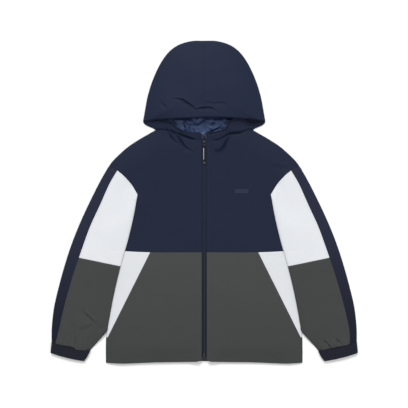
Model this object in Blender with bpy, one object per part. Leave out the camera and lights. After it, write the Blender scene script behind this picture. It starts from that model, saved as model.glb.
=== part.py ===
"""Hooded, colour-blocked windbreaker jacket, laid flat on its back with its zip closed.

Frame: +Z out of the front, +Y towards the hood, +X towards the wearer's left sleeve. The origin is under
the middle of the jacket, on the surface that it lies on. Tables and sizes are in millimetres.

Every panel is a cloth wall. Its plan comes from the seam curves below, and its height from how the layers
lie on each other: the back on the ground, the fronts over it with air between, the sleeves over the sides.
"""

import math

import bmesh
import bpy
import numpy as np

MM = 0.001

# Cloth
WALL = 1.5              # wall of one layer
GAP = 0.3               # between pieces at a seam, and between layers at a fold
INSET = 0.2             # each piece's share of a seam gap, along its own rows or columns
LINING_WALL = 1.0

# Air inside the garment as it lies
BODY_AIR = 9.0          # between back and fronts
BODY_ROLL = 70.0        # how far in from an edge the fronts reach that height
SLEEVE_AIR = 9.0
SLEEVE_ROLL = 70.0
FOLD_GAP = 0.8          # between a sleeve's two layers at its folds
REST_GAP = 0.9          # a sleeve's underside over the front that it lies on
RAMP = 42.0             # a sleeve's underside comes down from the body's edge to the ground over this
PINCH = 15.0            # the underarm fold opens over this much below the armhole corner
LAP_START = 24.0        # and the underside begins this much below it
HOOD_AIR_CROWN = 15.0
HOOD_AIR_BRIM = 32.0
HOOD_ROLL = 105.0
COLLAR_RISE = 5.0       # the collar's free edge stands this much over the neckline

# Seams and edges of the wearer's left half, each row (distance from the centre line, place along the body)
HOOD_EDGE = [
    (0, 484), (38, 483), (77, 471.5), (107.5, 449), (133.5, 412), (155, 365), (170, 317), (179, 269),
    (184, 241),
]
HOOD_FOOT = [(184, 241), (180.5, 235), (172.7, 229), (158.5, 223), (150, 219), (146.5, 215.5)]
BRIM_Y = 251.0
BRIM = {
    -1: [(0, BRIM_Y), (50, 248.5), (90, 247), (150, 245), (184, 241)],
    1: [(0, BRIM_Y), (30, 251.5), (80, 250), (110, 248.5), (150, 245.5), (184, 241)],
}
SHOULDER = [(146.5, 215.5), (163, 206), (199, 185), (234, 161), (272, 125.5), (286, 107)]
SLEEVE_OUTER = [
    (286, 107), (297.5, 88.5), (313, 61), (329.5, 29), (364, -43), (394, -115), (418, -187), (438, -259),
    (451.6, -319), (458.2, -379), (458.5, -422),
]
STRIPE_TOP = [
    (260.5, 94), (284.5, 53), (311.3, -7), (344, -79), (375.5, -167.6), (398, -235), (419, -310), (433, -370),
]
STRIPE_SEAM = {-1: STRIPE_TOP + [(446, -424)], 1: STRIPE_TOP + [(437, -400), (436, -426)]}
UNDERARM_FOLD = [
    (199.8, 22), (211.3, -43), (228.4, -115), (250.6, -193), (272, -283), (288, -368), (292, -388),
    (316, -416), (341.5, -445),
]
ARMHOLE_TOP = [(286, 107), (260.5, 94)]
ARMHOLE_FRONT = [(260.5, 94), (240, 76.5), (218, 51.5), (199.8, 22)]
ARMHOLE_UNDER = [(199.8, 22), (201, 10), (209, -15), (229, -55), (256, -82), (281, -88)]
ARMHOLE_BACK = [(286, 107), (262, 60), (254, 10), (262, -45), (281, -88)]
SIDE_SEAM = [(281, -88), (284, -151), (290, -295), (295, -412), (295.5, -483.5)]
NECKLINE = {
    -1: [(8, 185), (27, 186.5), (55, 195), (71, 201.5), (93, 209), (109, 213.5), (128, 216.5),
         (146.5, 215.5)],
    1: [(8, 182), (33, 184), (46, 187), (58.5, 193.5), (74, 203), (84, 205), (100, 206), (116, 209.5),
        (132, 216), (146.5, 215.5)],
}
COLLAR_EDGE = {
    -1: [(8, 203), (40, 204), (64, 208), (90, 225), (117, 243), (138, 251), (160, 246), (182, 238.5)],
    1: [(8, 203), (32, 211), (62, 219), (74, 240), (98, 251), (118, 248), (131, 237), (148, 233),
        (182, 238.5)],
}
FRONT_HEM = [(10, -473), (28, -480), (140, -482), (230, -485.5), (270, -485), (295.5, -483.5)]
BACK_HEM_Y = -479.0
YOKE = [(7.6, -151.5), (110, -152), (162, -151.5), (200, -150.2), (234, -148.3), (283.8, -145)]
YOKE_Y = -151.5
NECK_Y = 215.5
TRIANGLE_TOP = (162, -151.5)
TRIANGLE_TIP = (290, -407)
SLEEVE_BAND_SEAM = [(375.5, -167.6), (250.6, -193)]   # white over charcoal
PIT = (281, -88)
PIT_ROW_OUTER_Y = -69.0
PIT_ROW_INNER_Y = -99.0
CUFF_LINE = [(458.5, -422), (341.5, -445)]
CUFF_OUTER = [(458.5, -422), (460, -438), (461.3, -453.5)]
CUFF_INNER = [(341.5, -445), (350, -464), (360.5, -478.5)]

# Zip
FRONT_EDGE_X = 7.6
TAPE_INNER_X = 1.6
TAPE_OUTER_X = 12.0
TAPE_WALL = 1.2
TAPE_TOP_Y = 200.0
TAPE_END_Y = -452.0
CHAIN_HALF = 1.3
CHAIN_RISE = 0.8
CHAIN_TOP_Y = 163.0
SLIDER_Y = (166.0, 184.0)
SLIDER_HALF = 4.3
SLIDER_PLATE = 1.2
BRIDGE_HALF = 1.3
BRIDGE_THICK = 1.1
BRIDGE_RISE = 3.6
PIN_Y = 170.0
PIN_HALF = 0.6
PIN_LIFT = 1.15           # pin's middle over the slider's upper plate
ARM_REACH = 6.6         # from the pin to the tab, so that it clears the bridge when it is turned up
ARM_WALL = 1.0
PULL_END_Y = 112.5
PULL_HALF = 2.6
PULL_TIP_HALF = 4.6
PULL_TIP_LENGTH = 10.0
PULL_THICK = 1.8
BOX_Y = (-471.0, TAPE_END_Y - GAP)
BOX_HALF = 3.6

# Cuffs
CUFF_DEPTH = 30.5
CUFF_WALL = 2.0
CUFF_HEIGHT = 10.6
CUFF_GATHERS = 9
GATHER_DEPTH = 0.9
CUFF_FRONT_STEPS = 36
CUFF_BACK_STEPS = 12

FRONT_Z = WALL + GAP    # inner face of a front where it lies on the back

NAVY = ((0.020, 0.026, 0.052), 0.62, 0.0)
CHARCOAL = ((0.060, 0.066, 0.063), 0.66, 0.0)
WHITE = ((0.78, 0.80, 0.84), 0.6, 0.0)
LINING = ((0.035, 0.055, 0.13), 0.38, 0.0)
TAPE = ((0.022, 0.026, 0.036), 0.75, 0.0)
GUNMETAL = ((0.09, 0.09, 0.10), 0.35, 0.9)
SILVER = ((0.62, 0.63, 0.65), 0.3, 0.9)


# ---------------------------------------------------------------- plan curves

CURVE_STEPS = 8


def smooth(points, steps=CURVE_STEPS):
    """A Catmull-Rom curve through the points, as a fine polyline."""
    p = np.array(points, float)
    p = np.vstack([2 * p[0] - p[1], p, 2 * p[-1] - p[-2]])
    out = []
    for a, b, c, d in zip(p[:-3], p[1:-2], p[2:-1], p[3:]):
        for t in np.linspace(0, 1, steps, endpoint=False):
            bend = (2 * a - 5 * b + 4 * c - d) * t**2 + (3 * b - a - 3 * c + d) * t**3
            out.append(0.5 * (2 * b + (c - a) * t + bend))
    out.append(p[-2])
    return np.array(out)


def along(line, shares):
    """Points at these shares of a polyline's length."""
    line = np.asarray(line, float)
    run = np.concatenate([[0], np.cumsum(np.linalg.norm(np.diff(line, axis=0), axis=1))])
    want = np.asarray(shares) * run[-1]
    return np.stack([np.interp(want, run, line[:, k]) for k in (0, 1)], axis=1)


def between(line, top, bottom):
    """The stretch of a falling polyline between two heights."""
    line = np.asarray(line, float)
    ends = [[np.interp(-y, -line[:, 1], line[:, 0]), y] for y in (top, bottom)]
    inner = line[(line[:, 1] < top - 1e-6) & (line[:, 1] > bottom + 1e-6)]
    return np.vstack([ends[0], inner, ends[1]])


def distance(x, y, line):
    """Shortest distance in plan from each point to a polyline."""
    best = np.full(np.shape(x), 1e9)
    for (ax, ay), (bx, by) in zip(line[:-1], line[1:]):
        length = max((bx - ax) ** 2 + (by - ay) ** 2, 1e-9)
        t = np.clip(((x - ax) * (bx - ax) + (y - ay) * (by - ay)) / length, 0, 1)
        best = np.minimum(best, np.hypot(x - ax - t * (bx - ax), y - ay - t * (by - ay)))
    return best


HOOD_LINE = smooth(HOOD_EDGE)
FOOT_LINE = smooth(HOOD_FOOT)
OUTLINE = smooth(SHOULDER[:-1] + SLEEVE_OUTER)
SHOULDER_LINE = OUTLINE[: CURVE_STEPS * (len(SHOULDER) - 1) + 1]
OUTER_LINE = OUTLINE[CURVE_STEPS * (len(SHOULDER) - 1):]
SIDE_LINE = smooth(SIDE_SEAM)
FOLD_LINE = smooth(UNDERARM_FOLD)
STRIPE_LINES = {side: smooth(STRIPE_SEAM[side]) for side in (-1, 1)}
ARMHOLE_LINE = smooth(ARMHOLE_FRONT)
UNDER_LINE = smooth(ARMHOLE_UNDER)
BACK_ARMHOLE_LINE = along(smooth(ARMHOLE_BACK), np.linspace(0, 1, 9))
NECK_LINES = {side: smooth(NECKLINE[side]) for side in (-1, 1)}
HEM_LINE = smooth(FRONT_HEM)

SHOULDER_FOLD = np.vstack([FOOT_LINE, SHOULDER_LINE[1:]])
SLEEVE_FOLD = np.vstack([SHOULDER_LINE, OUTER_LINE[1:]])
HOOD_RIM = np.vstack([HOOD_LINE, FOOT_LINE[1:]])
ARMHOLE_SEAM = np.vstack([np.array(ARMHOLE_TOP, float), ARMHOLE_LINE[1:]])
BODY_SIDE = np.vstack([UNDER_LINE, SIDE_LINE[1:]])


# ---------------------------------------------------------------- heights

def rolled(share):
    """How much of the full height a layer has, from its closed edge (0) inwards (1 and more)."""
    return 1 - (1 - np.clip(share, 0, 1)) ** 2


def eased(share):
    share = np.clip(share, 0, 1)
    return share * share * (3 - 2 * share)


def front_height(x, y):
    """Inner face of the fronts: closed on the back along the shoulder and the side seam."""
    edge = np.minimum(distance(x, y, SHOULDER_FOLD), distance(x, y, SIDE_LINE))
    return FRONT_Z + BODY_AIR * rolled(edge / BODY_ROLL)


def inside_body(x, y):
    """Distance in from the armhole and side seam, negative outside the body."""
    edge_x = np.interp(-np.asarray(y), -BODY_SIDE[:, 1], BODY_SIDE[:, 0])
    return np.where(x < edge_x, 1, -1) * distance(x, y, BODY_SIDE)


def sleeve_ground(x, y):
    """Underside of a sleeve: over the front where it lies on it, down to the ground beside the body."""
    inside = inside_body(x, y)
    return (front_height(x, y) + WALL + REST_GAP) * eased(1 + inside / RAMP)


def sleeve_height(x, y):
    """Inner face of a sleeve's upper layer, run into the front along the armhole seam."""
    edge = np.minimum(distance(x, y, SLEEVE_FOLD), distance(x, y, FOLD_LINE))
    full = sleeve_ground(x, y) + WALL + FOLD_GAP + SLEEVE_AIR * rolled(edge / SLEEVE_ROLL)
    joined = np.clip(distance(x, y, ARMHOLE_SEAM) / PINCH, 0, 1)
    return front_height(x, y) + joined * (full - front_height(x, y))


def hood_height(x, y):
    """Inner face of the hood's upper layer, closed round the crown and open at the brim."""
    down = eased((HOOD_EDGE[0][1] - y) / (HOOD_EDGE[0][1] - BRIM_Y))
    air = HOOD_AIR_CROWN + (HOOD_AIR_BRIM - HOOD_AIR_CROWN) * down
    return FRONT_Z + air * rolled(distance(x, y, HOOD_RIM) / HOOD_ROLL)


# ---------------------------------------------------------------- panels

def patch(top, bottom, left, right, across):
    """Plan points of a four-sided panel. left and right are matching points, row by row; top and bottom are
    polylines from left to right, read at the shares in across."""
    left, right = np.asarray(left, float), np.asarray(right, float)
    across = np.asarray(across, float)
    top, bottom = along(top, across), along(bottom, across)
    run = np.concatenate([[0], np.cumsum(np.linalg.norm(np.diff((left + right) / 2, axis=0), axis=1))])
    v = (run / run[-1])[:, None, None]
    u = across[None, :, None]
    sides = left[:, None] * (1 - u) + right[:, None] * u
    ends = top[None] * (1 - v) + bottom[None] * v
    corners = (left[0] * (1 - u) + right[0] * u) * (1 - v) + (left[-1] * (1 - u) + right[-1] * u) * v
    return sides + ends - corners


def inset(grid, edges="tblr"):
    """Draws the named edges in by a seam's share."""
    grid = grid.copy()
    for edge, take, give in (("t", 0, 1), ("b", -1, -2)):
        if edge in edges:
            step = grid[give] - grid[take]
            grid[take] += INSET * step / np.linalg.norm(step, axis=1, keepdims=True)
    for edge, take, give in (("l", 0, 1), ("r", -1, -2)):
        if edge in edges:
            step = grid[:, give] - grid[:, take]
            grid[:, take] += INSET * step / np.linalg.norm(step, axis=1, keepdims=True)
    return grid


def raised(grid, height):
    return np.dstack([grid, height(grid[..., 0], grid[..., 1])])


def material(name, look):
    made = bpy.data.materials.get(name)
    if made is None:
        colour, roughness, metallic = look
        made = bpy.data.materials.new(name)
        made.use_nodes = True
        shader = made.node_tree.nodes["Principled BSDF"]
        shader.inputs["Base Color"].default_value = (*colour, 1)
        shader.inputs["Roughness"].default_value = roughness
        shader.inputs["Metallic"].default_value = metallic
        made.diffuse_color = (*colour, 1)
    return made


def add_object(name, bm, look_name, look, origin=(0, 0, 0)):
    """Turns a mesh in millimetres into a named object in metres, its faces pointing out."""
    bmesh.ops.recalc_face_normals(bm, faces=bm.faces)
    for vert in bm.verts:
        vert.co = (vert.co - type(vert.co)(origin)) * MM
    mesh = bpy.data.meshes.new(name)
    bm.to_mesh(mesh)
    bm.free()
    mesh.shade_smooth()
    mesh.set_sharp_from_angle(angle=math.radians(40))
    mesh.materials.append(material(look_name, look))
    made = bpy.data.objects.new(name, mesh)
    made.location = [c * MM for c in origin]
    bpy.context.scene.collection.objects.link(made)
    return made


def cloth(name, grids, look_name, look, side=1, wall=WALL):
    """A cloth wall over one or more grids that share their common edge's points."""
    bm = bmesh.new()
    known = {}

    def pair(point):
        key = tuple(round(float(c), 3) for c in point)
        if key not in known:
            x, y, z = point
            known[key] = tuple(bm.verts.new((side * x, y, z + up)) for up in (0, wall))
        return known[key]

    edges = {}
    for grid in grids:
        rows, columns = grid.shape[:2]
        cells = [[pair(grid[i, j]) for j in range(columns)] for i in range(rows)]
        for i in range(rows - 1):
            for j in range(columns - 1):
                a, b, c, d = cells[i][j], cells[i][j + 1], cells[i + 1][j + 1], cells[i + 1][j]
                for tri in ((a, b, c), (a, c, d)):
                    bm.faces.new([v[0] for v in tri])
                    bm.faces.new([v[1] for v in reversed(tri)])
                for start, end in ((a, b), (b, c), (c, d), (d, a)):
                    back = (end[0], start[0])
                    if back in edges:
                        del edges[back]
                    else:
                        edges[(start[0], end[0])] = (start, end)
    for start, end in edges.values():
        bm.faces.new((start[0], start[1], end[1], end[0]))
    return add_object(name, bm, look_name, look)


def block(name, look_name, look, boxes, origin=(0, 0, 0)):
    """One body from boxes that overlap, each (low corner, high corner)."""
    bodies = []
    for low, high in boxes:
        bm = bmesh.new()
        bmesh.ops.create_cube(bm, size=1)
        for vert in bm.verts:
            vert.co = [lo + (c + 0.5) * (hi - lo) for c, lo, hi in zip(vert.co, low, high)]
        bodies.append(add_object(name if not bodies else name + "_part", bm, look_name, look, origin))
    first = bodies[0]
    for other in bodies[1:]:
        union = first.modifiers.new("Join", "BOOLEAN")
        union.operation = "UNION"
        union.object = other
        other.hide_render = True
        other.display_type = "WIRE"
    return first


# ---------------------------------------------------------------- body

ACROSS_FRONT = np.linspace(0, 1, 10)
ARMHOLE_SHARES = np.linspace(0, 1, 7)
UNDER_SHARES = np.linspace(0, 1, 6)


def front_side_points():
    """The outer side of a front above the yoke seam: shoulder, armhole, side seam."""
    return np.vstack([
        along(SHOULDER_LINE, np.linspace(0, 1, 5)),
        along(ARMHOLE_LINE, ARMHOLE_SHARES),
        along(UNDER_LINE, UNDER_SHARES)[1:],
        along(between(SIDE_LINE, PIT[1], YOKE[-1][1]), (0.5, 1)),
    ])


def front_edge(rows_like, high, low):
    """The straight edge at the zip, its rows spaced as those of the opposite edge."""
    share = (rows_like[:, 1] - rows_like[-1, 1]) / (rows_like[0, 1] - rows_like[-1, 1])
    return np.stack([np.full(len(rows_like), FRONT_EDGE_X), low + share * (high - low)], axis=1)


def front_upper(side):
    right = front_side_points()
    left = front_edge(right, NECKLINE[side][0][1], YOKE_Y)
    neck = NECK_LINES[side].copy()
    neck[0, 0] = FRONT_EDGE_X
    plan = inset(patch(neck, YOKE, left, right, ACROSS_FRONT), "tbr")
    return cloth(part_name("front_upper", side), [raised(plan, front_height)], "navy_cloth", NAVY, side)


def front_lower(side):
    slant = along([TRIANGLE_TOP, TRIANGLE_TIP], np.linspace(0, 1, 6))
    below = along(between(SIDE_LINE, TRIANGLE_TIP[1] - 4, HEM_LINE[-1][1]), (0, 0.5, 1))
    right = np.vstack([slant, below])
    left = front_edge(right, YOKE_Y, HEM_LINE[0][1])
    hem = HEM_LINE.copy()
    hem[0, 0] = FRONT_EDGE_X
    plan = inset(patch(YOKE[:3], hem, left, right, ACROSS_FRONT), "tr")
    grid = raised(plan, front_height)
    return cloth(part_name("front_lower", side), [grid], "charcoal_cloth", CHARCOAL, side)


def front_triangle(side):
    rows = np.linspace(0, 1, 9)
    left = along([TRIANGLE_TOP, TRIANGLE_TIP], rows)
    right = along(between(SIDE_LINE, YOKE[-1][1], TRIANGLE_TIP[1]), rows)
    plan = inset(patch(YOKE[2:], [left[-1], right[-1]], left, right, np.linspace(0, 1, 6)), "tl")
    return cloth(part_name("front_side", side), [raised(plan, front_height)], "white_cloth", WHITE, side)


def ground(x, y):
    return np.zeros(np.shape(x))


def back_panels():
    edge = np.vstack([
        along(SHOULDER_LINE, np.linspace(0, 1, 5)),
        BACK_ARMHOLE_LINE[1:],
        along(between(SIDE_LINE, PIT[1], YOKE_Y), (0.5, 1)),
    ])
    lower = along(between(SIDE_LINE, YOKE_Y, BACK_HEM_Y), np.linspace(0, 1, 5))
    across = np.linspace(0, 1, 11)
    for name, points, look_name, look, edges in (
        ("back_upper", edge, "navy_cloth", NAVY, "tblr"),
        ("back_lower", lower, "charcoal_cloth", CHARCOAL, "t"),
    ):
        left = points * (-1, 1)
        plan = patch([left[0], points[0]], [left[-1], points[-1]], left, points, across)
        cloth(name, [raised(inset(plan, edges), ground)], look_name, look)


# ---------------------------------------------------------------- sleeves

WHITE_ROWS = np.array([0, 0.055, 0.16, 0.28, 0.41, 0.55, 0.7, 0.85, 1])
BAND_ROWS = np.linspace(0, 1, 9)
STRIPE_TURN = 7.0       # the stripe's row at the band seam runs this much up to the outer fold
UNDER_TIP = 0.25        # the underside's upper end stops this share of a row short of the shoulder


def sleeve_fronts(side):
    """The navy stripe down the outside, and the white and charcoal bands inside it."""
    turn_y = SLEEVE_BAND_SEAM[0][1]
    line = STRIPE_LINES[side]
    seam_high = along(between(line, line[0][1], turn_y), WHITE_ROWS)
    seam_low = along(between(line, turn_y, line[-1][1]), BAND_ROWS)
    fold_high = along(between(FOLD_LINE, FOLD_LINE[0][1], SLEEVE_BAND_SEAM[1][1]), WHITE_ROWS)
    fold_low = along(between(FOLD_LINE, SLEEVE_BAND_SEAM[1][1], FOLD_LINE[-1][1]), BAND_ROWS)
    outer_turn = turn_y + STRIPE_TURN
    outer_high = along(between(OUTER_LINE, OUTER_LINE[0][1], outer_turn), WHITE_ROWS)
    outer_low = along(between(OUTER_LINE, outer_turn, OUTER_LINE[-1][1]), BAND_ROWS)
    corner_x = line[-1][0]
    seam_low[-1] = (corner_x, np.interp(corner_x, *np.array(CUFF_LINE[::-1]).T))

    white = patch(ARMHOLE_LINE, SLEEVE_BAND_SEAM, seam_high, fold_high, ARMHOLE_SHARES)
    grid = raised(inset(white, "tblr"), sleeve_height)
    cloth(part_name("sleeve_white", side), [grid], "white_cloth", WHITE, side)

    band = patch(SLEEVE_BAND_SEAM, [seam_low[-1], CUFF_LINE[1]], seam_low, fold_low, np.linspace(0, 1, 8))
    grid = raised(inset(band, "tblr"), sleeve_height)
    cloth(part_name("sleeve_band", side), [grid], "charcoal_cloth", CHARCOAL, side)

    seam = np.vstack([seam_high, seam_low[1:]])
    outer = np.vstack([outer_high, outer_low[1:]])
    across = np.linspace(0, 1, 4)
    stripe = patch([outer[0], seam[0]], [outer[-1], seam[-1]], outer, seam, across)
    grid = raised(inset(stripe, "tbr"), sleeve_height)
    cloth(part_name("sleeve_stripe", side), [grid], "navy_cloth", NAVY, side)


def sleeve_under(side):
    """The underside: one panel from the outer fold to the underarm fold, with the armhole cut out of it."""
    pit = np.array(PIT, float)
    outer_pit = between(OUTER_LINE, PIT_ROW_OUTER_Y, OUTER_LINE[-1][1])[0]
    inner_pit = between(FOLD_LINE, PIT_ROW_INNER_Y, FOLD_LINE[-1][1])[0]
    reach = np.linalg.norm(pit - outer_pit)
    share = reach / (reach + np.linalg.norm(inner_pit - pit))
    outside, tongue = np.linspace(0, share, 9), np.linspace(share, 1, 6)
    across = np.concatenate([outside, tongue[1:]])
    down = np.linspace(0, 1, 13)
    outer = along(between(OUTER_LINE, PIT_ROW_OUTER_Y, OUTER_LINE[-1][1]), down)
    fold = along(between(FOLD_LINE, PIT_ROW_INNER_Y, FOLD_LINE[-1][1]), down)
    tube = inset(patch([outer_pit, pit, inner_pit], CUFF_LINE, outer, fold, across), "b")

    back = BACK_ARMHOLE_LINE.copy()
    back[0] += UNDER_TIP * (back[1] - back[0])
    rise = np.concatenate([[UNDER_TIP / 8], np.linspace(1 / 8, 1, 8)])
    outer_high = along(between(OUTER_LINE, OUTER_LINE[0][1], PIT_ROW_OUTER_Y), rise)
    upper = patch([outer_high[0], back[0]], [outer_pit, pit], outer_high, back, outside / share)
    upper[:-1] = inset(upper, "r")[:-1]

    start = FOLD_LINE[0][1] - LAP_START
    steps = np.linspace(0, 1, 6)
    fold_high = along(between(FOLD_LINE, start, PIT_ROW_INNER_Y), steps)
    under = along(between(UNDER_LINE, start, PIT[1]), steps)
    lap = patch([under[0], fold_high[0]], [pit, inner_pit], under, fold_high, (tongue - share) / (1 - share))
    lap[0] += (0, -0.1)

    upper[-1], lap[-1] = tube[0, :9], tube[0, 8:]
    grids = [raised(grid, sleeve_ground) for grid in (tube, upper, lap)]
    return cloth(part_name("sleeve_under", side), grids, "navy_cloth", NAVY, side)


def cuff(side):
    """The elastic band: a flat tube, gathered on the side that shows, resting flat."""
    bm = bmesh.new()
    rings = []
    for share in np.linspace(GAP / CUFF_DEPTH, 1, 4):
        outer_end, inner_end = along(CUFF_OUTER, [share])[0], along(CUFF_INNER, [share])[0]
        middle = (outer_end + inner_end) / 2
        half = np.linalg.norm(inner_end - outer_end) / 2
        u_axis = (inner_end - outer_end) / (2 * half)
        for wall, gathered in ((0, True), (CUFF_WALL, False)):
            ring = []
            width, height = half - wall, CUFF_HEIGHT / 2 - wall
            for steps, top in ((CUFF_FRONT_STEPS, True), (CUFF_BACK_STEPS, False)):
                for k in range(steps):
                    t = k / steps
                    a = math.pi * t
                    x = width * math.cos(a) * (1 if top else -1)
                    z = height * math.sin(a) ** 0.35 * (1 if top else -1) if 0 < t < 1 else 0.0
                    if gathered and top:
                        wave = 0.5 - 0.5 * math.cos(2 * math.pi * CUFF_GATHERS * t)
                        z -= GATHER_DEPTH * wave * math.sin(a)
                    plan = middle - u_axis * x
                    ring.append(bm.verts.new((side * plan[0], plan[1], CUFF_HEIGHT / 2 + z)))
            rings.append(ring)
    count = CUFF_FRONT_STEPS + CUFF_BACK_STEPS
    outer, inner = rings[0::2], rings[1::2]
    strips = list(zip(outer[:-1], outer[1:])) + list(zip(inner[:-1], inner[1:]))
    strips += [(outer[0], inner[0]), (outer[-1], inner[-1])]
    for a, b in strips:
        for k in range(count):
            n = (k + 1) % count
            bm.faces.new((a[k], a[n], b[n], b[k]))
    return add_object(part_name("cuff", side), bm, "navy_cloth", NAVY)


# ---------------------------------------------------------------- hood

HOOD_CORNER = 0.42      # share of the hood's edge that its top row takes
COLLAR_FALL = 70.0      # the collar's rise ends over this, from this far out
LINING_HALF = 126.0
LINING_Y = (300.0, 196.0)
LINING_BOW = 0.35


def hood_half(side):
    rows = np.linspace(0, 1, 11)
    corner = int(HOOD_CORNER * len(HOOD_LINE))
    crown, flank = HOOD_LINE[: corner + 1], HOOD_LINE[corner:]
    right = along(flank, rows)
    left = [(0, y) for y in HOOD_EDGE[0][1] + rows * (BRIM_Y - HOOD_EDGE[0][1])]
    plan = inset(patch(crown, smooth(BRIM[side]), left, right, np.linspace(0, 1, 11)), "l")
    cloth(part_name("hood", side), [raised(plan, hood_height)], "navy_cloth", NAVY, side)

    foot = along(FOOT_LINE, np.linspace(0, 1, 3))
    right = np.vstack([right, foot[1:]])
    share = (right[:, 1] - NECK_Y) / (right[0, 1] - NECK_Y)
    left = np.stack([np.zeros(len(right)), NECK_Y + share * (HOOD_EDGE[0][1] - NECK_Y)], axis=1)
    plan = patch(crown, [(0, NECK_Y), tuple(right[-1])], left, right, np.linspace(0, 1, 7))
    cloth(part_name("hood_under", side), [raised(inset(plan, "lb"), ground)], "navy_cloth", NAVY, side)


def collar(side):
    """The hood's foot in front of the neck, its free edge standing a little."""
    rows = np.linspace(0, 1, 5)
    edge = smooth(COLLAR_EDGE[side])
    foot = along(FOOT_LINE, rows)
    foot[0] = COLLAR_EDGE[side][-1]
    neck = NECK_LINES[side].copy()
    neck[0, 0] = edge[0, 0] = FRONT_EDGE_X
    left = np.stack([np.full(5, FRONT_EDGE_X), edge[0, 1] + rows * (neck[0, 1] - edge[0, 1])], axis=1)
    plan = inset(patch(edge, neck, left, foot, ACROSS_FRONT), "b")
    lying = raised(plan, front_height)
    middle = 1 - eased((np.abs(plan[..., 0]) - COLLAR_FALL) / COLLAR_FALL)
    lying[..., 2] += COLLAR_RISE * (1 - rows[:, None]) * middle
    cloth(part_name("collar", side), [lying], "navy_cloth", NAVY, side)


def hood_lining():
    """The lining where the hood's mouth shows it."""
    share = np.linspace(0, 1, 7)
    ys = LINING_Y[0] + share * (LINING_Y[1] - LINING_Y[0])
    across = np.linspace(0, 1, 13)
    bow = LINING_HALF * (1 - LINING_BOW * (2 * share - 1) ** 2)
    left = [(-b, y) for b, y in zip(bow, ys)]
    right = [(b, y) for b, y in zip(bow, ys)]
    plan = patch([left[0], right[0]], [left[-1], right[-1]], left, right, across)
    flat = raised(plan, lambda x, y: np.full(np.shape(x), FRONT_Z))
    cloth("hood_lining", [flat], "lining_cloth", LINING, wall=LINING_WALL)


# ---------------------------------------------------------------- zip

TAPE_FACE = FRONT_Z + BODY_AIR - GAP      # upper face of the tape, under the fronts' edges
FRONT_FACE = FRONT_Z + BODY_AIR + WALL
PLATE_Z = TAPE_FACE + CHAIN_RISE + GAP    # under the slider's upper plate


def zip_tape(side):
    low = (TAPE_INNER_X, TAPE_END_Y, TAPE_FACE - TAPE_WALL)
    high = (TAPE_OUTER_X, TAPE_TOP_Y, TAPE_FACE)
    if side < 0:
        low, high = (-high[0], *low[1:]), (-low[0], *high[1:])
    return block(part_name("zip_tape", side), "zip_tape", TAPE, [(low, high)])


def zip_parts():
    below = TAPE_FACE - TAPE_WALL
    block("zip_chain", "zip_tape", TAPE, [
        ((-CHAIN_HALF, TAPE_END_Y, below), (CHAIN_HALF, CHAIN_TOP_Y, TAPE_FACE + CHAIN_RISE)),
    ])
    block("zip_box", "gunmetal", GUNMETAL, [
        ((-BOX_HALF, BOX_Y[0], below - 0.6), (BOX_HALF, BOX_Y[1], TAPE_FACE + CHAIN_RISE)),
    ])
    low, high = SLIDER_Y
    plate_top = PLATE_Z + SLIDER_PLATE
    arch = plate_top + BRIDGE_RISE
    block("zip_slider", "gunmetal", GUNMETAL, [
        ((-SLIDER_HALF, low, PLATE_Z), (SLIDER_HALF, high, plate_top)),
        ((-CHAIN_HALF, low, below - GAP - 0.3), (CHAIN_HALF, high, PLATE_Z + 0.4)),
        ((-SLIDER_HALF, low, below - GAP - SLIDER_PLATE), (SLIDER_HALF, high, below - GAP)),
        ((-BRIDGE_HALF, low + 0.6, plate_top - 0.4), (BRIDGE_HALF, low + 0.6 + BRIDGE_THICK, arch)),
        ((-BRIDGE_HALF, high - 4, plate_top - 0.4), (BRIDGE_HALF, high - 4 + BRIDGE_THICK, arch)),
        ((-BRIDGE_HALF, low + 0.6, arch - BRIDGE_THICK), (BRIDGE_HALF, high - 4 + BRIDGE_THICK, arch)),
    ])


def zip_pull():
    """The pull tab on its pin through the slider's bridge, lying towards the hem."""
    pin_z = PLATE_Z + SLIDER_PLATE + PIN_LIFT
    floor_z = FRONT_FACE + 0.4
    tip = PULL_END_Y + PULL_TIP_LENGTH
    tab = PIN_Y - ARM_REACH
    arm = BRIDGE_HALF + 0.4
    back, under, over = PIN_Y + PIN_HALF, pin_z - PIN_HALF, pin_z + PIN_HALF
    boxes = [
        ((-PULL_HALF, PULL_END_Y + 2, floor_z), (PULL_HALF, tab, floor_z + PULL_THICK)),
        ((-PULL_TIP_HALF, PULL_END_Y, floor_z - 0.2), (PULL_TIP_HALF, tip, floor_z + PULL_THICK + 0.5)),
        ((-arm - ARM_WALL, tab - 0.8, under), (-arm, back, over)),
        ((arm, tab - 0.8, under), (arm + ARM_WALL, back, over)),
        ((-arm - ARM_WALL / 2, PIN_Y - PIN_HALF, under), (arm + ARM_WALL / 2, back, over)),
    ]
    return block("zip_pull", "silver", SILVER, boxes, origin=(0, PIN_Y, pin_z))


def part_name(stem, side):
    return f"{stem}_{'left' if side > 0 else 'right'}"


def main():
    for old in list(bpy.data.objects):
        bpy.data.objects.remove(old, do_unlink=True)
    back_panels()
    for side in (-1, 1):
        front_upper(side)
        front_lower(side)
        front_triangle(side)
        sleeve_fronts(side)
        sleeve_under(side)
        cuff(side)
        hood_half(side)
        collar(side)
        zip_tape(side)
    hood_lining()
    zip_parts()
    zip_pull()


main()
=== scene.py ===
"""Looks of the hooded windbreaker jacket: fine nylon shells over the laid-out panels, with their folds,
gathers, stitching and zip. Tables and sizes are in millimetres, as they lie in the frame."""

import math

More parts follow.
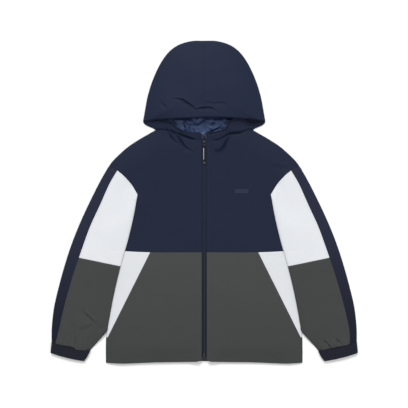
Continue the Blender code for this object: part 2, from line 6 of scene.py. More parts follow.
import bmesh
import bpy
import numpy as np
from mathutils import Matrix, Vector


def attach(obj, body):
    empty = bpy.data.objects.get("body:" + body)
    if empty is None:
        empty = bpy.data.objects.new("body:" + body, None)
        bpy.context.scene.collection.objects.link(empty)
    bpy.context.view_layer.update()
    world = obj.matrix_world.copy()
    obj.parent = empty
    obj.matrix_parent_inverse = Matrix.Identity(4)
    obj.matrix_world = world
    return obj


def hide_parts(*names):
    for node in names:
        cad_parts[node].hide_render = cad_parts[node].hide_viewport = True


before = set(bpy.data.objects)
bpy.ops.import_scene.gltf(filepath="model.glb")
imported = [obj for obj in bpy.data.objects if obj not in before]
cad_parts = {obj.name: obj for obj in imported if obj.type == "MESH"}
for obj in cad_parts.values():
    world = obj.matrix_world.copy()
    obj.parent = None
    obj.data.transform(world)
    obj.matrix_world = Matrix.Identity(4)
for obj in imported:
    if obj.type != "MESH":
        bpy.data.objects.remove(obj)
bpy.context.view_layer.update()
MM = 0.001
BODY = "jacket"

# ---------------------------------------------------------------- how the garment lies

WALL = 1.5              # the panels' outer faces stand this far from the frame's inner ones
CLOTH = 0.7             # the nylon as it is drawn
HOOD_CLOTH = 1.1
COLLAR_CLOTH = 1.0
LINING_CLOTH = 0.6
FOLD_GAP = 0.8          # between a sleeve's two layers
REST_GAP = 0.9          # between the body's front and the sleeve that lies on it
GAP = 0.3               # between the body's back and front
CLEAR = 0.1             # what is left of a gap where the layers meet at a fold
FRONT_Z = WALL + GAP
BODY_AIR = 9.0          # how high the air holds the front, reached this far in from its folds:
BODY_ROLL = 70.0
SLEEVE_AIR = 9.0
SLEEVE_ROLL = 70.0
SLEEVE_EASE = (14.0, 30.0)      # circles over which the sleeve's turns are averaged
EASE_TURNS = 8
RAMP = 42.0             # the sleeve climbs onto the body over this
PINCH = 15.0            # and opens from its seam with the body over this
FOLD_TUCK = 1.4         # the underside's edge stays this much inside the underarm fold
LAP_START = 24.0        # the underside's lap on the body starts this far below the underarm
HOOD_AIR_CROWN = 15.0
HOOD_AIR_BRIM = 32.0
HOOD_ROLL = 105.0
BRIM_TURN = (7.5, 3.6)  # the brim's edge turns down by this, over this
COLLAR_RISE = 5.0
COLLAR_TURN = 4.5       # the collar's cloth rolls up past the frame's edge by this
HEM_SINK = 6.0          # the front sinks by this to the hem,
HEM_SLOPE = 55.0        # over this length,
ZIP_HOLD = (18.0, 30.0)         # but not beside the zip: free of it from here, over this width

# Seams and edges of one half, each row (distance from the centre line, place along the body)
HOOD_EDGE = [
    (0, 484), (38, 483), (77, 471.5), (107.5, 449), (133.5, 412), (155, 365), (170, 317), (179, 269),
    (184, 241),
]
HOOD_FOOT = [(184, 241), (180.5, 235), (172.7, 229), (158.5, 223), (150, 219), (146.5, 215.5)]
BRIM_Y = 251.0
BRIM = {
    -1: [(0, BRIM_Y), (50, 248.5), (90, 247), (150, 245), (184, 241)],
    1: [(0, BRIM_Y), (30, 251.5), (80, 250), (110, 248.5), (150, 245.5), (184, 241)],
}
SHOULDER = [(146.5, 215.5), (163, 206), (199, 185), (234, 161), (272, 125.5), (286, 107)]
SLEEVE_OUTER = [
    (286, 107), (297.5, 88.5), (313, 61), (329.5, 29), (364, -43), (394, -115), (418, -187), (438, -259),
    (451.6, -319), (458.2, -379), (458.5, -422),
]
STRIPE_TOP = [
    (260.5, 94), (284.5, 53), (311.3, -7), (344, -79), (375.5, -167.6), (398, -235), (419, -310), (433, -370),
]
STRIPE_SEAM = {-1: STRIPE_TOP + [(446, -424)], 1: STRIPE_TOP + [(437, -400), (436, -426)]}
UNDERARM_FOLD = [
    (199.8, 22), (211.3, -43), (228.4, -115), (250.6, -193), (272, -283), (288, -368), (292, -388),
    (316, -416), (341.5, -445),
]
ARMHOLE_TOP = [(286, 107), (260.5, 94)]
ARMHOLE_FRONT = [(260.5, 94), (240, 76.5), (218, 51.5), (199.8, 22)]
ARMHOLE_UNDER = [(199.8, 22), (201, 10), (209, -15), (229, -55), (256, -82), (281, -88)]
ARMHOLE_BACK = [(286, 107), (262, 60), (254, 10), (262, -45), (281, -88)]
SIDE_SEAM = [(281, -88), (284, -151), (290, -295), (295, -412), (295.5, -483.5)]
NECKLINE = {
    -1: [(8, 185), (27, 186.5), (55, 195), (71, 201.5), (93, 209), (109, 213.5), (128, 216.5),
         (146.5, 215.5)],
    1: [(8, 182), (33, 184), (46, 187), (58.5, 193.5), (74, 203), (84, 205), (100, 206), (116, 209.5),
        (132, 216), (146.5, 215.5)],
}
COLLAR_EDGE = {
    -1: [(8, 203), (40, 204), (64, 208), (90, 225), (117, 243), (138, 251), (160, 246), (182, 238.5)],
    1: [(8, 203), (32, 211), (62, 219), (74, 240), (98, 251), (118, 248), (131, 237), (148, 233),
        (182, 238.5)],
}
FRONT_HEM = [(10, -473), (28, -480), (140, -482), (230, -485.5), (270, -485), (295.5, -483.5)]
BACK_HEM_Y = -479.0
YOKE = [(7.6, -151.5), (110, -152), (162, -151.5), (200, -150.2), (234, -148.3), (283.8, -145)]
YOKE_Y = -151.5
NECK_Y = 215.5
TRIANGLE_TOP = (162, -151.5)
TRIANGLE_TIP = (290, -407)
SLEEVE_BAND_SEAM = [(375.5, -167.6), (250.6, -193)]   # white over charcoal
PIT = (281, -88)
PIT_ROW_OUTER_Y = -69.0         # where the sleeve's underside is parted level with the pit
PIT_ROW_INNER_Y = -99.0
CUFF_LINE = [(458.5, -422), (341.5, -445)]
CUFF_OUTER = [(458.5, -422), (460, -438), (461.3, -453.5)]
CUFF_INNER = [(341.5, -445), (350, -464), (360.5, -478.5)]
FRONT_EDGE_X = 7.6

# Folds that the cloth keeps, each row: points along it, depth (a ridge if negative), width, ridge beside it
FOLDS = [
    ([(-115, 223), (-108, 211), (-99, 195), (-88, 181), (-77, 173)], 3.2, 2.2, 0.35),
    ([(-101, 218), (-92, 209), (-77, 193), (-67, 178), (-55, 163), (-34, 149)], 3.4, 2.2, 0.4),
    ([(80, 207), (74, 196), (67, 181), (61, 170), (56, 161), (47, 153), (34, 151), (22, 157)],
     3.6, 1.9, 0.45),
    ([(68, 200), (84, 205), (100, 206), (120, 211)], 2.2, 4.0, 0.2),
    ([(-76, 203), (-52, 195), (-24, 184)], 1.8, 2.4, 0.3),
    ([(196, 110), (226, 104), (257, 98)], 0.9, 5.0, 0.4),
    ([(-90, 308), (-67, 305), (-51, 295), (-39, 287), (-22, 272)], 3.3, 1.9, 0.45),
    ([(-30, 271), (-15, 278.5), (0, 280), (20, 280), (38, 269)], 3.0, 1.8, 0.45),
    ([(-6, 297), (26, 292.5), (62, 292), (72, 275)], 1.3, 3.4, 0.3),
    ([(-126, 296), (-119, 288), (-113, 279)], 2.4, 1.8, 0.4),
    ([(-364, -316), (-361, -332), (-347, -347), (-333, -360), (-322, -369)], 1.9, 4.2, 0.5),
    ([(-384, -388), (-354, -380), (-328, -366)], 1.3, 6.0, 0.4),
    ([(-296, -376), (-306, -380), (-320, -388)], 1.2, 4.0, 0.4),
    ([(-391, -366), (-391, -400), (-384, -442)], 1.7, 6.0, 0.3),
    ([(354, -413), (368, -425), (384, -443)], 2.4, 2.4, 0.4),
    ([(393, -408), (402, -417), (414, -430)], 2.4, 2.4, 0.4),
]

LINING_FOLDS = [
    ([(-2, 247), (-13, 238), (-27, 228)], 2.6, 2.2, 0.5),
    ([(2, 209), (19, 223), (42, 242)], -2.4, 3.2, 0.0),
    ([(12, 206), (31, 215), (50, 226), (58, 244)], 2.2, 2.0, 0.4),
    ([(-55, 244), (-52, 228), (-53, 211)], -1.8, 2.4, 0.0),
    ([(-41, 246), (-39, 230), (-42, 208)], -1.8, 2.2, 0.0),
    ([(-47, 240), (-46, 226), (-49, 206)], 1.8, 1.8, 0.3),
    ([(-70, 248), (-62, 232), (-56, 214)], 2.4, 2.0, 0.5),
    ([(-33, 221), (-30, 212), (-31, 203)], 1.6, 1.6, 0.4),
    ([(-62, 220), (-58, 211), (-57, 203)], 1.6, 1.6, 0.4),
    ([(62, 250), (66, 238), (62, 226)], 2.0, 1.8, 0.5),
    ([(20, 250), (26, 241), (36, 236)], 1.6, 2.0, 0.4),
    ([(-36, 251), (-24, 241), (-8, 249)], 2.6, 4.0, 0.0),
    ([(26, 211), (44, 216), (66, 221)], 2.8, 3.4, 0.2),
    ([(-108, 250), (-94, 240), (-80, 226)], 2.4, 3.4, 0.3),
]
FOLD_DEPTH = 1.7        # all depths above are times this
FOLD_REACH = 9          # widths
HEM_FOLD = 22.0         # the turned hem's row of stitches
BRIM_FOLD = 25.0
BODY_SWELL = [(1.0, 95), (0.38, 38), (0.16, 15)]        # height and spacing of the cloth's humps
HOOD_SWELL = [(1.5, 85), (0.5, 34), (0.16, 14)]
SEED = 11


# ---------------------------------------------------------------- plan curves

CURVE_STEPS = 8


def smooth(points, steps=CURVE_STEPS):
    """A Catmull-Rom curve through the points, as a fine polyline."""
    p = np.array(points, float)
    p = np.vstack([2 * p[0] - p[1], p, 2 * p[-1] - p[-2]])
    out = []
    for a, b, c, d in zip(p[:-3], p[1:-2], p[2:-1], p[3:]):
        for t in np.linspace(0, 1, steps, endpoint=False):
            bend = (2 * a - 5 * b + 4 * c - d) * t**2 + (3 * b - a - 3 * c + d) * t**3
            out.append(0.5 * (2 * b + (c - a) * t + bend))
    out.append(p[-2])
    return np.array(out)


def length_of(line):
    return float(np.linalg.norm(np.diff(np.asarray(line, float), axis=0), axis=1).sum())


def along(line, shares):
    """Points at these shares of a polyline's length."""
    line = np.asarray(line, float)
    run = np.concatenate([[0], np.cumsum(np.linalg.norm(np.diff(line, axis=0), axis=1))])
    want = np.asarray(shares) * run[-1]
    return np.stack([np.interp(want, run, line[:, k]) for k in (0, 1)], axis=1)


def between(line, top, bottom):
    """The stretch of a falling polyline between two heights."""
    line = np.asarray(line, float)
    ends = [[np.interp(-y, -line[:, 1], line[:, 0]), y] for y in (top, bottom)]
    inner = line[(line[:, 1] < top - 1e-6) & (line[:, 1] > bottom + 1e-6)]
    return np.vstack([ends[0], inner, ends[1]])


def near(x, y, line):
    """Distance from each point to a polyline, place along it, and the side (positive to its left)."""
    line = np.asarray(line, float)
    best, place, side = np.full(np.shape(x), 1e9), np.zeros(np.shape(x)), np.ones(np.shape(x))
    run = 0.0
    for (ax, ay), (bx, by) in zip(line[:-1], line[1:]):
        dx, dy = bx - ax, by - ay
        length = max(math.hypot(dx, dy), 1e-6)
        t = np.clip(((x - ax) * dx + (y - ay) * dy) / length**2, 0, 1)
        away = np.hypot(x - ax - t * dx, y - ay - t * dy)
        closer = away < best
        best = np.where(closer, away, best)
        place = np.where(closer, run + t * length, place)
        side = np.where(closer, np.sign(dx * (y - ay) - dy * (x - ax)), side)
        run += length
    return best, place, side


def distance(x, y, *lines):
    """Distance to the nearest of these lines."""
    return np.minimum.reduce([near(x, y, line)[0] for line in lines])


def side_of(x):
    return 1 if np.mean(x) > 0 else -1


HOOD_LINE = smooth(HOOD_EDGE)
FOOT_LINE = smooth(HOOD_FOOT)
OUTLINE = smooth(SHOULDER[:-1] + SLEEVE_OUTER)
SHOULDER_LINE = OUTLINE[: CURVE_STEPS * (len(SHOULDER) - 1) + 1]
OUTER_LINE = OUTLINE[CURVE_STEPS * (len(SHOULDER) - 1):]
SIDE_LINE = smooth(SIDE_SEAM)
FOLD_LINE = smooth(UNDERARM_FOLD)
STRIPE_LINES = {side: smooth(STRIPE_SEAM[side]) for side in (-1, 1)}
ARMHOLE_LINE = smooth(ARMHOLE_FRONT)
UNDER_LINE = smooth(ARMHOLE_UNDER)
BACK_ARMHOLE_LINE = smooth(ARMHOLE_BACK)
NECK_LINES = {side: smooth(NECKLINE[side]) for side in (-1, 1)}
HEM_LINE = smooth(FRONT_HEM)
BRIM_LINES = {side: smooth(BRIM[side]) for side in (-1, 1)}
HOOD_RIM = np.vstack([HOOD_LINE, FOOT_LINE[1:]])
SHOULDER_FOLD = np.vstack([FOOT_LINE, SHOULDER_LINE[1:]])
SLEEVE_FOLD = np.vstack([SHOULDER_LINE, OUTER_LINE[1:]])
BODY_SIDE = np.vstack([UNDER_LINE, SIDE_LINE[1:]])
ARM_SEAM = np.vstack([np.array(ARMHOLE_TOP, float), ARMHOLE_LINE[1:]])
TRIANGLE_SEAM = [TRIANGLE_TOP, TRIANGLE_TIP]
SEWN = [ARM_SEAM, SLEEVE_BAND_SEAM, YOKE, TRIANGLE_SEAM]
PLACKET = [(FRONT_EDGE_X, 187), (FRONT_EDGE_X, -473)]
HOOD_CENTRE = [(0, 484), (0, 253)]


# ---------------------------------------------------------------- heights

def rolled(share):
    return 1 - (1 - np.clip(share, 0, 1)) ** 2


def eased(share):
    share = np.clip(share, 0, 1)
    return share * share * (3 - 2 * share)


def ramp(value, start, width):
    """0 up to start, then evenly to 1 over this width."""
    return np.clip((value - start) / width, 0, 1)


def front_height(x, y):
    """The inner side of the body's front."""
    edge = distance(np.abs(x), y, SHOULDER_FOLD, SIDE_LINE)
    return FRONT_Z + BODY_AIR * rolled(edge / BODY_ROLL)


def inside_body(x, y):
    """Distance from the body's side, positive inside it."""
    x = np.abs(x)
    edge_x = np.interp(-np.asarray(y), -BODY_SIDE[:, 1], BODY_SIDE[:, 0])
    return np.where(x < edge_x, 1, -1) * distance(x, y, BODY_SIDE)


def over_body(x, y):
    """1 where the sleeve lies on the body, 0 where it lies beside it."""
    return eased(1 + inside_body(x, y) / RAMP)


def sleeve_ground(x, y):
    """What the sleeve's underside lies on: the table, or the body's front."""
    return (front_height(x, y) + WALL + REST_GAP) * over_body(x, y)


def sleeve_height(x, y):
    """The inner side of the sleeve's upper layer, which meets the body's front at their seam."""
    x = np.abs(x)
    edge = distance(x, y, SLEEVE_FOLD, FOLD_LINE)
    full = sleeve_ground(x, y) + WALL + FOLD_GAP + SLEEVE_AIR * rolled(edge / SLEEVE_ROLL)
    joined = np.clip(distance(x, y, ARM_SEAM) / PINCH, 0, 1)
    return front_height(x, y) + joined * (full - front_height(x, y))


def hood_height(x, y):
    """The inner side of the hood's upper layer, which stands open towards its brim."""
    x = np.abs(x)
    down = eased((HOOD_EDGE[0][1] - y) / (HOOD_EDGE[0][1] - BRIM_Y))
    air = HOOD_AIR_CROWN + (HOOD_AIR_BRIM - HOOD_AIR_CROWN) * down
    return FRONT_Z + air * rolled(distance(x, y, HOOD_RIM) / HOOD_ROLL)


# ---------------------------------------------------------------- relief of the cloth

LATTICE = 64            # random values each way, after which a cloud repeats
CLOUD_START = (23.0, 29.0)
SEAM_GROOVE = (0.55, 1.3)       # depth and half width
NECK_GROOVE = (3.6, 2.6)
HEM_GROOVE = (0.35, 1.0)
BRIM_GROOVE = (0.25, 1.1)
CROWN_GROOVE = (0.5, 1.2)
NECK_FLAT = (24, 12)            # the neck's groove starts this far from the centre line, over this width
FOLD_SOFT = 2.6                 # a crease's soft side is this much wider
RIDGE_AT = 1.9                  # and its ridge lies this many widths away
PUCKER_LEAN = 0.25              # a seam's ripples lean along it by this share of their length,
PUCKER_START = 1.5              # start this far from it,
SIDES_APART = 40.0              # and differ on its two sides, whose rows of the cloud are this far off
GATHER = 13.0                   # from one gather above the cuff to the next
FAR_GATHERS = (34, 30)          # the broad ones lie this far up, over this reach
BLOUSE = (2.2, 20)              # how high the sleeve's end swells, over this reach
GATHERS_IN = 18                 # the gathers get lower this close to the sleeve's folds
HOOD_FULL = 20                  # the hood's swell is full where it stands this high


def cloud(x, y, size, seed):
    """Smooth random swell, about -1 to 1, with humps about this far apart."""
    values = np.random.default_rng(seed).uniform(-1, 1, (LATTICE, LATTICE))
    u, v = np.asarray(x) / size + CLOUD_START[0], np.asarray(y) / size + CLOUD_START[1]
    i, j = np.floor(u).astype(int), np.floor(v).astype(int)
    fu, fv = eased(u - i), eased(v - j)
    i, j, right, up = i % LATTICE, j % LATTICE, (i + 1) % LATTICE, (j + 1) % LATTICE
    lower = values[i, j] * (1 - fu) + values[right, j] * fu
    upper = values[i, up] * (1 - fu) + values[right, up] * fu
    return lower * (1 - fv) + upper * fv


def swell(x, y, humps, seed):
    """Several clouds at once, from (height, size) rows."""
    return sum(high * cloud(x, y, size, seed + k) for k, (high, size) in enumerate(humps))


def fold_relief(x, y, folds):
    """The kept folds: each a crease with one steep side and one that eases out, under a low ridge."""
    total = np.zeros(np.shape(x))
    for points, depth, width, ridge in folds:
        line = smooth(points)
        reach = FOLD_REACH * width
        low, high = line.min(axis=0) - reach, line.max(axis=0) + reach
        close = (x > low[0]) & (x < high[0]) & (y > low[1]) & (y < high[1])
        if not close.any():
            continue
        away, place, side = near(x[close], y[close], line)
        long = length_of(line)
        fade = np.sin(np.pi * np.clip(place / long, 0.03, 0.97)) ** 0.7
        wide = np.where(side > 0, width, FOLD_SOFT * width)
        crease = np.exp(-((away / wide) ** 1.25))
        beside = (away * side - RIDGE_AT * width) / width
        total[close] += fade * FOLD_DEPTH * depth * (ridge * np.exp(-beside**2) - crease)
    return total


def pucker(x, y, line, seed, high=0.4, reach=9.0, size=8.0):
    """Small ripples that run out from a sewn seam."""
    away, place, side = near(x, y, line)
    wave = cloud(place + PUCKER_LEAN * away * side, SIDES_APART * side, size, seed)
    long = 0.6 + 0.4 * cloud(place, SIDES_APART * side, 3 * size, seed + 7)
    return high * wave * np.exp(-away / (reach * long)) * np.clip(away / PUCKER_START, 0, 1)


def groove(x, y, line, depth, width):
    return -depth * np.exp(-((distance(x, y, line) / width) ** 2))


def body_relief(x, y):
    """Swell, folds, puckers and seam grooves shared by everything on the jacket's upper side."""
    half, side = np.abs(x), side_of(x)
    air = np.clip((front_height(x, y) - FRONT_Z) / BODY_AIR, 0.12, 1)
    total = swell(x, y, BODY_SWELL, SEED) * air + fold_relief(x, y, FOLDS)
    for k, line in enumerate(SEWN):
        total += pucker(half, y, line, SEED + 10 + k + (20 if side > 0 else 0))
        total += groove(half, y, line, *SEAM_GROOVE)
    neck, stripe = NECK_LINES[side], STRIPE_LINES[side]
    total += pucker(half, y, stripe, SEED + 16 + 10 * side) + groove(half, y, stripe, *SEAM_GROOVE)
    total += pucker(half, y, neck, SEED + 15 + 10 * side)
    total += groove(half, y, neck, *NECK_GROOVE) * np.clip((half - NECK_FLAT[0]) / NECK_FLAT[1], 0.05, 1)
    total += pucker(half, y, PLACKET, SEED + 50, high=0.3, reach=11, size=13)
    hem = HEM_LINE + (0, HEM_FOLD)
    rippled = pucker(half, y, hem, SEED + 51, high=0.55, reach=13, size=10)
    total += groove(half, y, hem, *HEM_GROOVE) + rippled
    return total


def cuff_gathers(x, y):
    """The sleeve's end as it blouses over the elastic cuff, with gathers that fan up from it."""
    half = np.abs(x)
    away, place, _ = near(half, y, CUFF_LINE)
    seed = SEED + 70 + (1 if side_of(x) > 0 else 0)
    shift = 6.0 * cloud(place, away, 26, seed)
    wave = 1 - 2 * np.abs(np.sin(np.pi * (place + shift) / GATHER)) ** 1.3
    fan = np.exp(-away / (19 + 12 * cloud(place, 0 * away, 13, seed + 2)))
    band = np.exp(-(((away - FAR_GATHERS[0]) / FAR_GATHERS[1]) ** 2))
    far = cloud(place + shift, away * 0.5, 20, seed + 3) * band
    blouse = BLOUSE[0] * np.exp(-((away / BLOUSE[1]) ** 2))
    return 1.5 * wave * fan + 1.1 * far + blouse


def edge_drop(edge, amount, reach=5.0):
    """Brings an upper layer down onto the one below along a fold."""
    return amount * (1 - np.clip(edge / reach, 0, 1)) ** 2


def clear_of_lower(z):
    """Keeps an upper layer's outer side over the layer that it lies on."""
    return np.maximum(z, WALL + CLEAR)


def front_face(x, y):
    half = np.abs(x)
    edge = distance(half, y, SHOULDER_FOLD, SIDE_LINE)
    drop = edge_drop(edge, WALL + GAP - CLEAR)
    free = ramp(half, *ZIP_HOLD)
    sink = HEM_SINK * eased(1 - (y - HEM_LINE[-1][1]) / HEM_SLOPE) * free
    sink = sink * np.clip(edge / BODY_ROLL, 0, 1)
    return clear_of_lower(front_height(x, y) + WALL + body_relief(x, y) - drop - sink)


def softened_sleeve(x, y):
    """The sleeve's height with its turns over the body's side eased, away from its seams and folds."""
    half = np.abs(x)
    own = sleeve_height(x, y)
    total, count = own, 1
    for reach in SLEEVE_EASE:
        for turn in np.arange(EASE_TURNS) * math.pi * 2 / EASE_TURNS:
            total = total + sleeve_height(x + reach * math.cos(turn), y + reach * math.sin(turn))
            count += 1
    inner = np.clip(distance(half, y, SLEEVE_FOLD, FOLD_LINE, ARM_SEAM) / SLEEVE_EASE[-1], 0, 1)
    return inner * total / count + (1 - inner) * own


def sleeve_face(x, y):
    half = np.abs(x)
    edge = distance(half, y, SLEEVE_FOLD, FOLD_LINE)
    seam = np.clip(distance(half, y, ARM_SEAM) / PINCH, 0, 1)
    lift = body_relief(x, y) + cuff_gathers(x, y) * np.clip(edge / GATHERS_IN, 0.1, 1)
    drop = seam * edge_drop(edge, WALL + FOLD_GAP - CLEAR)
    return clear_of_lower(softened_sleeve(x, y) + WALL + lift - drop)


def sleeve_floor(x, y):
    return sleeve_ground(x, y) + body_relief(x, y) * over_body(x, y)


def hood_relief(x, y):
    """Swell, folds and ripples of the hood, with its middle seam and the brim's row of stitches."""
    half, side = np.abs(x), side_of(x)
    air = np.clip((hood_height(x, y) - FRONT_Z) / HOOD_FULL, 0.05, 1)
    total = swell(x, y, HOOD_SWELL, SEED + 5) * air + fold_relief(x, y, FOLDS)
    stitch = BRIM_LINES[side] + (0, BRIM_FOLD)
    rippled = pucker(half, y, HOOD_CENTRE, SEED + 60, high=0.35)
    total += groove(half, y, HOOD_CENTRE, *CROWN_GROOVE) + rippled
    total += groove(half, y, stitch, *BRIM_GROOVE)
    total += pucker(half, y, stitch, SEED + 61 + (3 if side > 0 else 0), high=0.5, reach=12, size=12)
    return total


def hood_face(x, y):
    half = np.abs(x)
    closed = edge_drop(distance(half, y, HOOD_RIM), WALL + GAP - CLEAR, 6)
    turned = edge_drop(distance(half, y, BRIM_LINES[side_of(x)]), *BRIM_TURN)
    return clear_of_lower(hood_height(x, y) + WALL + hood_relief(x, y) - np.maximum(closed, turned))


def flat_ground(x, y):
    return np.zeros(np.shape(x))


# ---------------------------------------------------------------- grids

EDGE_ROWS = np.array([0.7, 1.7, 3.4])       # closer points beside a panel's edges
STEP = 2.9
SHARP = 55              # degrees
PLACES = 600            # along an edge, at which the step is read


def shares(long, step, busy=(0, 0, 1)):
    """Shares along an edge: even steps, closer ones beside both ends, and a busy stretch (from, to, step)."""
    low, high = EDGE_ROWS[-1] + step * 0.7, long - EDGE_ROWS[-1] - step * 0.7
    place = np.linspace(low, high, PLACES)
    size = np.where((place >= busy[0]) & (place <= busy[1]), busy[2], step)
    run = np.concatenate([[0], np.cumsum(np.diff(place) / size[1:])])
    inner = np.interp(np.linspace(0, run[-1], max(2, round(run[-1]) + 1)), run, place)
    return np.concatenate([[0], EDGE_ROWS, inner, long - EDGE_ROWS[::-1], [long]]) / long


def patch(top, bottom, left, right, across):
    """Plan points of a four-sided panel. left and right match row by row; across is read along the others."""
    left, right = np.asarray(left, float), np.asarray(right, float)
    top, bottom = along(top, across), along(bottom, across)
    run = np.concatenate([[0], np.cumsum(np.linalg.norm(np.diff((left + right) / 2, axis=0), axis=1))])
    v = (run / run[-1])[:, None, None]
    u = np.asarray(across)[None, :, None]
    sides = left[:, None] * (1 - u) + right[:, None] * u
    ends = top[None] * (1 - v) + bottom[None] * v
    corners = (left[0] * (1 - u) + right[0] * u) * (1 - v) + (left[-1] * (1 - u) + right[-1] * u) * v
    return sides + ends - corners


def by_height(right, low, high, x):
    """Points on a straight edge that match the heights of another edge's points."""
    right = np.asarray(right)
    share = (right[:, 1] - right[-1, 1]) / (right[0, 1] - right[-1, 1])
    return np.stack([np.full(len(right), float(x)), low + share * (high - low)], axis=1)


def add(name, data):
    made = bpy.data.objects.new(name, data)
    bpy.context.scene.collection.objects.link(made)
    return made


def smooth_piece(name, mesh, sharp):
    mesh.shade_smooth()
    mesh.set_sharp_from_angle(angle=math.radians(sharp))
    return add(name, mesh)


def join_grids(grids):
    """Plan points and quads of several grids that share the points of their common edges."""
    points, index, quads = [], {}, []
    for grid in grids:
        ids = np.empty(grid.shape[:2], int)
        for place in np.ndindex(ids.shape):
            key = tuple(round(float(c), 3) for c in grid[place])
            if key not in index:
                index[key] = len(points)
                points.append(grid[place])
            ids[place] = index[key]
        a, b, c, d = ids[:-1, :-1], ids[:-1, 1:], ids[1:, 1:], ids[1:, :-1]
        quads.append(np.stack([a, b, c, d], axis=-1).reshape(-1, 4))
    return np.array(points), np.vstack(quads)


def rim_of(quads):
    """The edges that only one quad has, in that quad's own direction."""
    edges = {}
    for quad in quads:
        for start, end in zip(quad, quad[1:] + quad[:1]):
            if (end, start) in edges:
                del edges[(end, start)]
            else:
                edges[(start, end)] = True
    return edges


def wall_mesh(name, grids, face, thick=CLOTH, side=1, under=False, lined=False):
    """A closed thin wall over the grids. face gives its outer side, and a lined wall's inner side has
    the piece's second material."""
    plan, quads = join_grids(grids)
    plan = plan * (side, 1)
    z = face(plan[:, 0], plan[:, 1])
    low, high = (z, z + thick) if under else (z - thick, z)
    verts = np.vstack([np.column_stack([plan, high]), np.column_stack([plan, low])]) * MM
    outer = (quads if side < 0 else quads[:, ::-1]).tolist()
    n = len(plan)
    inner = [[n + k for k in reversed(quad)] for quad in outer]
    rim = [[end, start, n + start, n + end] for start, end in rim_of(outer)]
    mesh = bpy.data.meshes.new(name)
    mesh.from_pydata(verts.tolist(), [], outer + inner + rim)
    mesh.validate()
    if lined:
        marks = np.repeat(np.array([0, 1, 0], np.int32), [len(outer), len(inner), len(rim)])
        mesh.polygons.foreach_set("material_index", marks)
    return smooth_piece(name, mesh, SHARP)


def cut_area(grids):
    """Area of the cut piece, from the diagonals of its grids' cells."""
    total = 0.0
    for grid in grids:
        p, q = grid[1:, 1:] - grid[:-1, :-1], grid[1:, :-1] - grid[:-1, 1:]
        total += float(np.abs(p[..., 0] * q[..., 1] - p[..., 1] * q[..., 0]).sum() / 2)
    return total * MM * MM


# ---------------------------------------------------------------- shader maths

class Value:
    """A socket that takes part in plain expressions."""

    def __init__(self, look, socket):
        self.look, self.socket = look, socket

    def _math(self, kind, a, b):
        return self.look.node("Math", {"operation": kind}, {0: a, 1: b})

    def __add__(self, other):
        return self._math("ADD", self, other)

    __radd__ = __add__

    def __sub__(self, other):
        return self._math("SUBTRACT", self, other)

    def __rsub__(self, other):
        return self._math("SUBTRACT", other, self)

    def __mul__(self, other):
        return self._math("MULTIPLY", self, other)

    __rmul__ = __mul__

    def ribs(self, pitch):
        """Waves along the value, this far apart."""
        return self.look.node("Math", {"operation": "SINE"}, {0: self * (2 * math.pi / pitch)})


class Look:
    """One material: its node tree, with the Principled shader's own sockets set by name."""

    def __init__(self, name, **own):
        self.material = bpy.data.materials.new(name)
        self.material.use_nodes = True
        self.tree = self.material.node_tree
        self.shader = self.tree.nodes["Principled BSDF"]
        self.set(**own)

    def put(self, socket, value):
        if isinstance(value, Value):
            self.tree.links.new(value.socket, socket)
        elif hasattr(socket.default_value, "__len__"):
            size = len(socket.default_value)
            socket.default_value = (*value, 1.0)[:size]
        else:
            socket.default_value = value

    def set(self, **sockets):
        for name, value in sockets.items():
            self.put(self.shader.inputs[name.replace("_", " ")], value)
        return self

    def node(self, kind, settings=None, inputs=None, out=0):
        made = self.tree.nodes.new("ShaderNode" + kind)
        for key, value in (settings or {}).items():
            setattr(made, key, value)
        for key, value in (inputs or {}).items():
            self.put(made.inputs[key], value)
        return Value(self, made.outputs[out])

    def place(self, turn=0.0):
        """Object coordinates in metres, turned about Z, as three values."""
        where = self.node("TexCoord", out=3)
        if turn:
            where = self.node("VectorRotate", {"rotation_type": "Z_AXIS"}, {"Vector": where, "Angle": turn})
        split = self.tree.nodes.new("ShaderNodeSeparateXYZ")
        self.put(split.inputs[0], where)
        return where, [Value(self, s) for s in split.outputs]

    def mix(self, share, a, b, blend="MIX"):
        made = self.tree.nodes.new("ShaderNodeMix")
        made.data_type, made.blend_type = "RGBA", blend
        self.put(made.inputs[0], share)
        self.put(made.inputs[6], a)
        self.put(made.inputs[7], b)
        return Value(self, made.outputs[2])

    def noise(self, where, scale, detail=3.0, rough=0.5):
        inputs = {"Vector": where, "Scale": scale, "Detail": detail, "Roughness": rough}
        return self.node("TexNoise", None, inputs)

    def between(self, value, start, end):
        """0 to 1 as the value goes from start to end."""
        return self.node("MapRange", None, {"Value": value, "From Min": start, "From Max": end})

    def bump(self, height, strength, far, under=None):
        """Relief this high in metres, over the finer relief under it."""
        inputs = {"Strength": strength, "Distance": far, "Height": height}
        if under:
            inputs["Normal"] = under
        return self.node("Bump", None, inputs)


def darker(colour, share):
    return tuple(c * share for c in colour)


NAVY = (0.0110, 0.0160, 0.0375)
CHARCOAL = (0.0500, 0.0545, 0.0520)
WHITE = (0.709, 0.728, 0.757)
LINING = (0.015, 0.027, 0.078)
SLEEVE_NAVY = (0.0163, 0.0198, 0.0402)
# painted shade: the sleeve stripe's navy near the cuff, darker where the light falls off
SLEEVE_NAVY_SHADED = (0.0063, 0.0060, 0.0165)
ELASTIC = (0.0045, 0.0058, 0.0152)
TAPE_NAVY = [(0.0086, 0.0126, 0.0300), (0.0118, 0.0168, 0.0390)]
TAPE_GREY = (0.0102, 0.0142, 0.0215)
TAPE_SEALED = (0.034, 0.039, 0.065)
COIL_NAVY = [(0.0128, 0.0195, 0.0460), (0.0200, 0.0290, 0.0640)]
COIL_GREY = (0.0225, 0.0275, 0.0400)
GRAIN = math.radians(14)        # a sleeve's yarns lean by this
YARN = 0.0008                   # metres between yarns
LINING_YARN = 0.0006
BODY_FADE = (-0.48, 0.1)        # heights between which a panel's colour goes over, in metres: painted shade, darker towards the bottom
SLEEVE_FADE = (-0.46, -0.08)
ZIP_FADE = (-0.148, -0.156)     # the zip is greyer from the yoke down
SEALED_FROM = (0.188, 0.191)    # and its tapes' ends are sealed
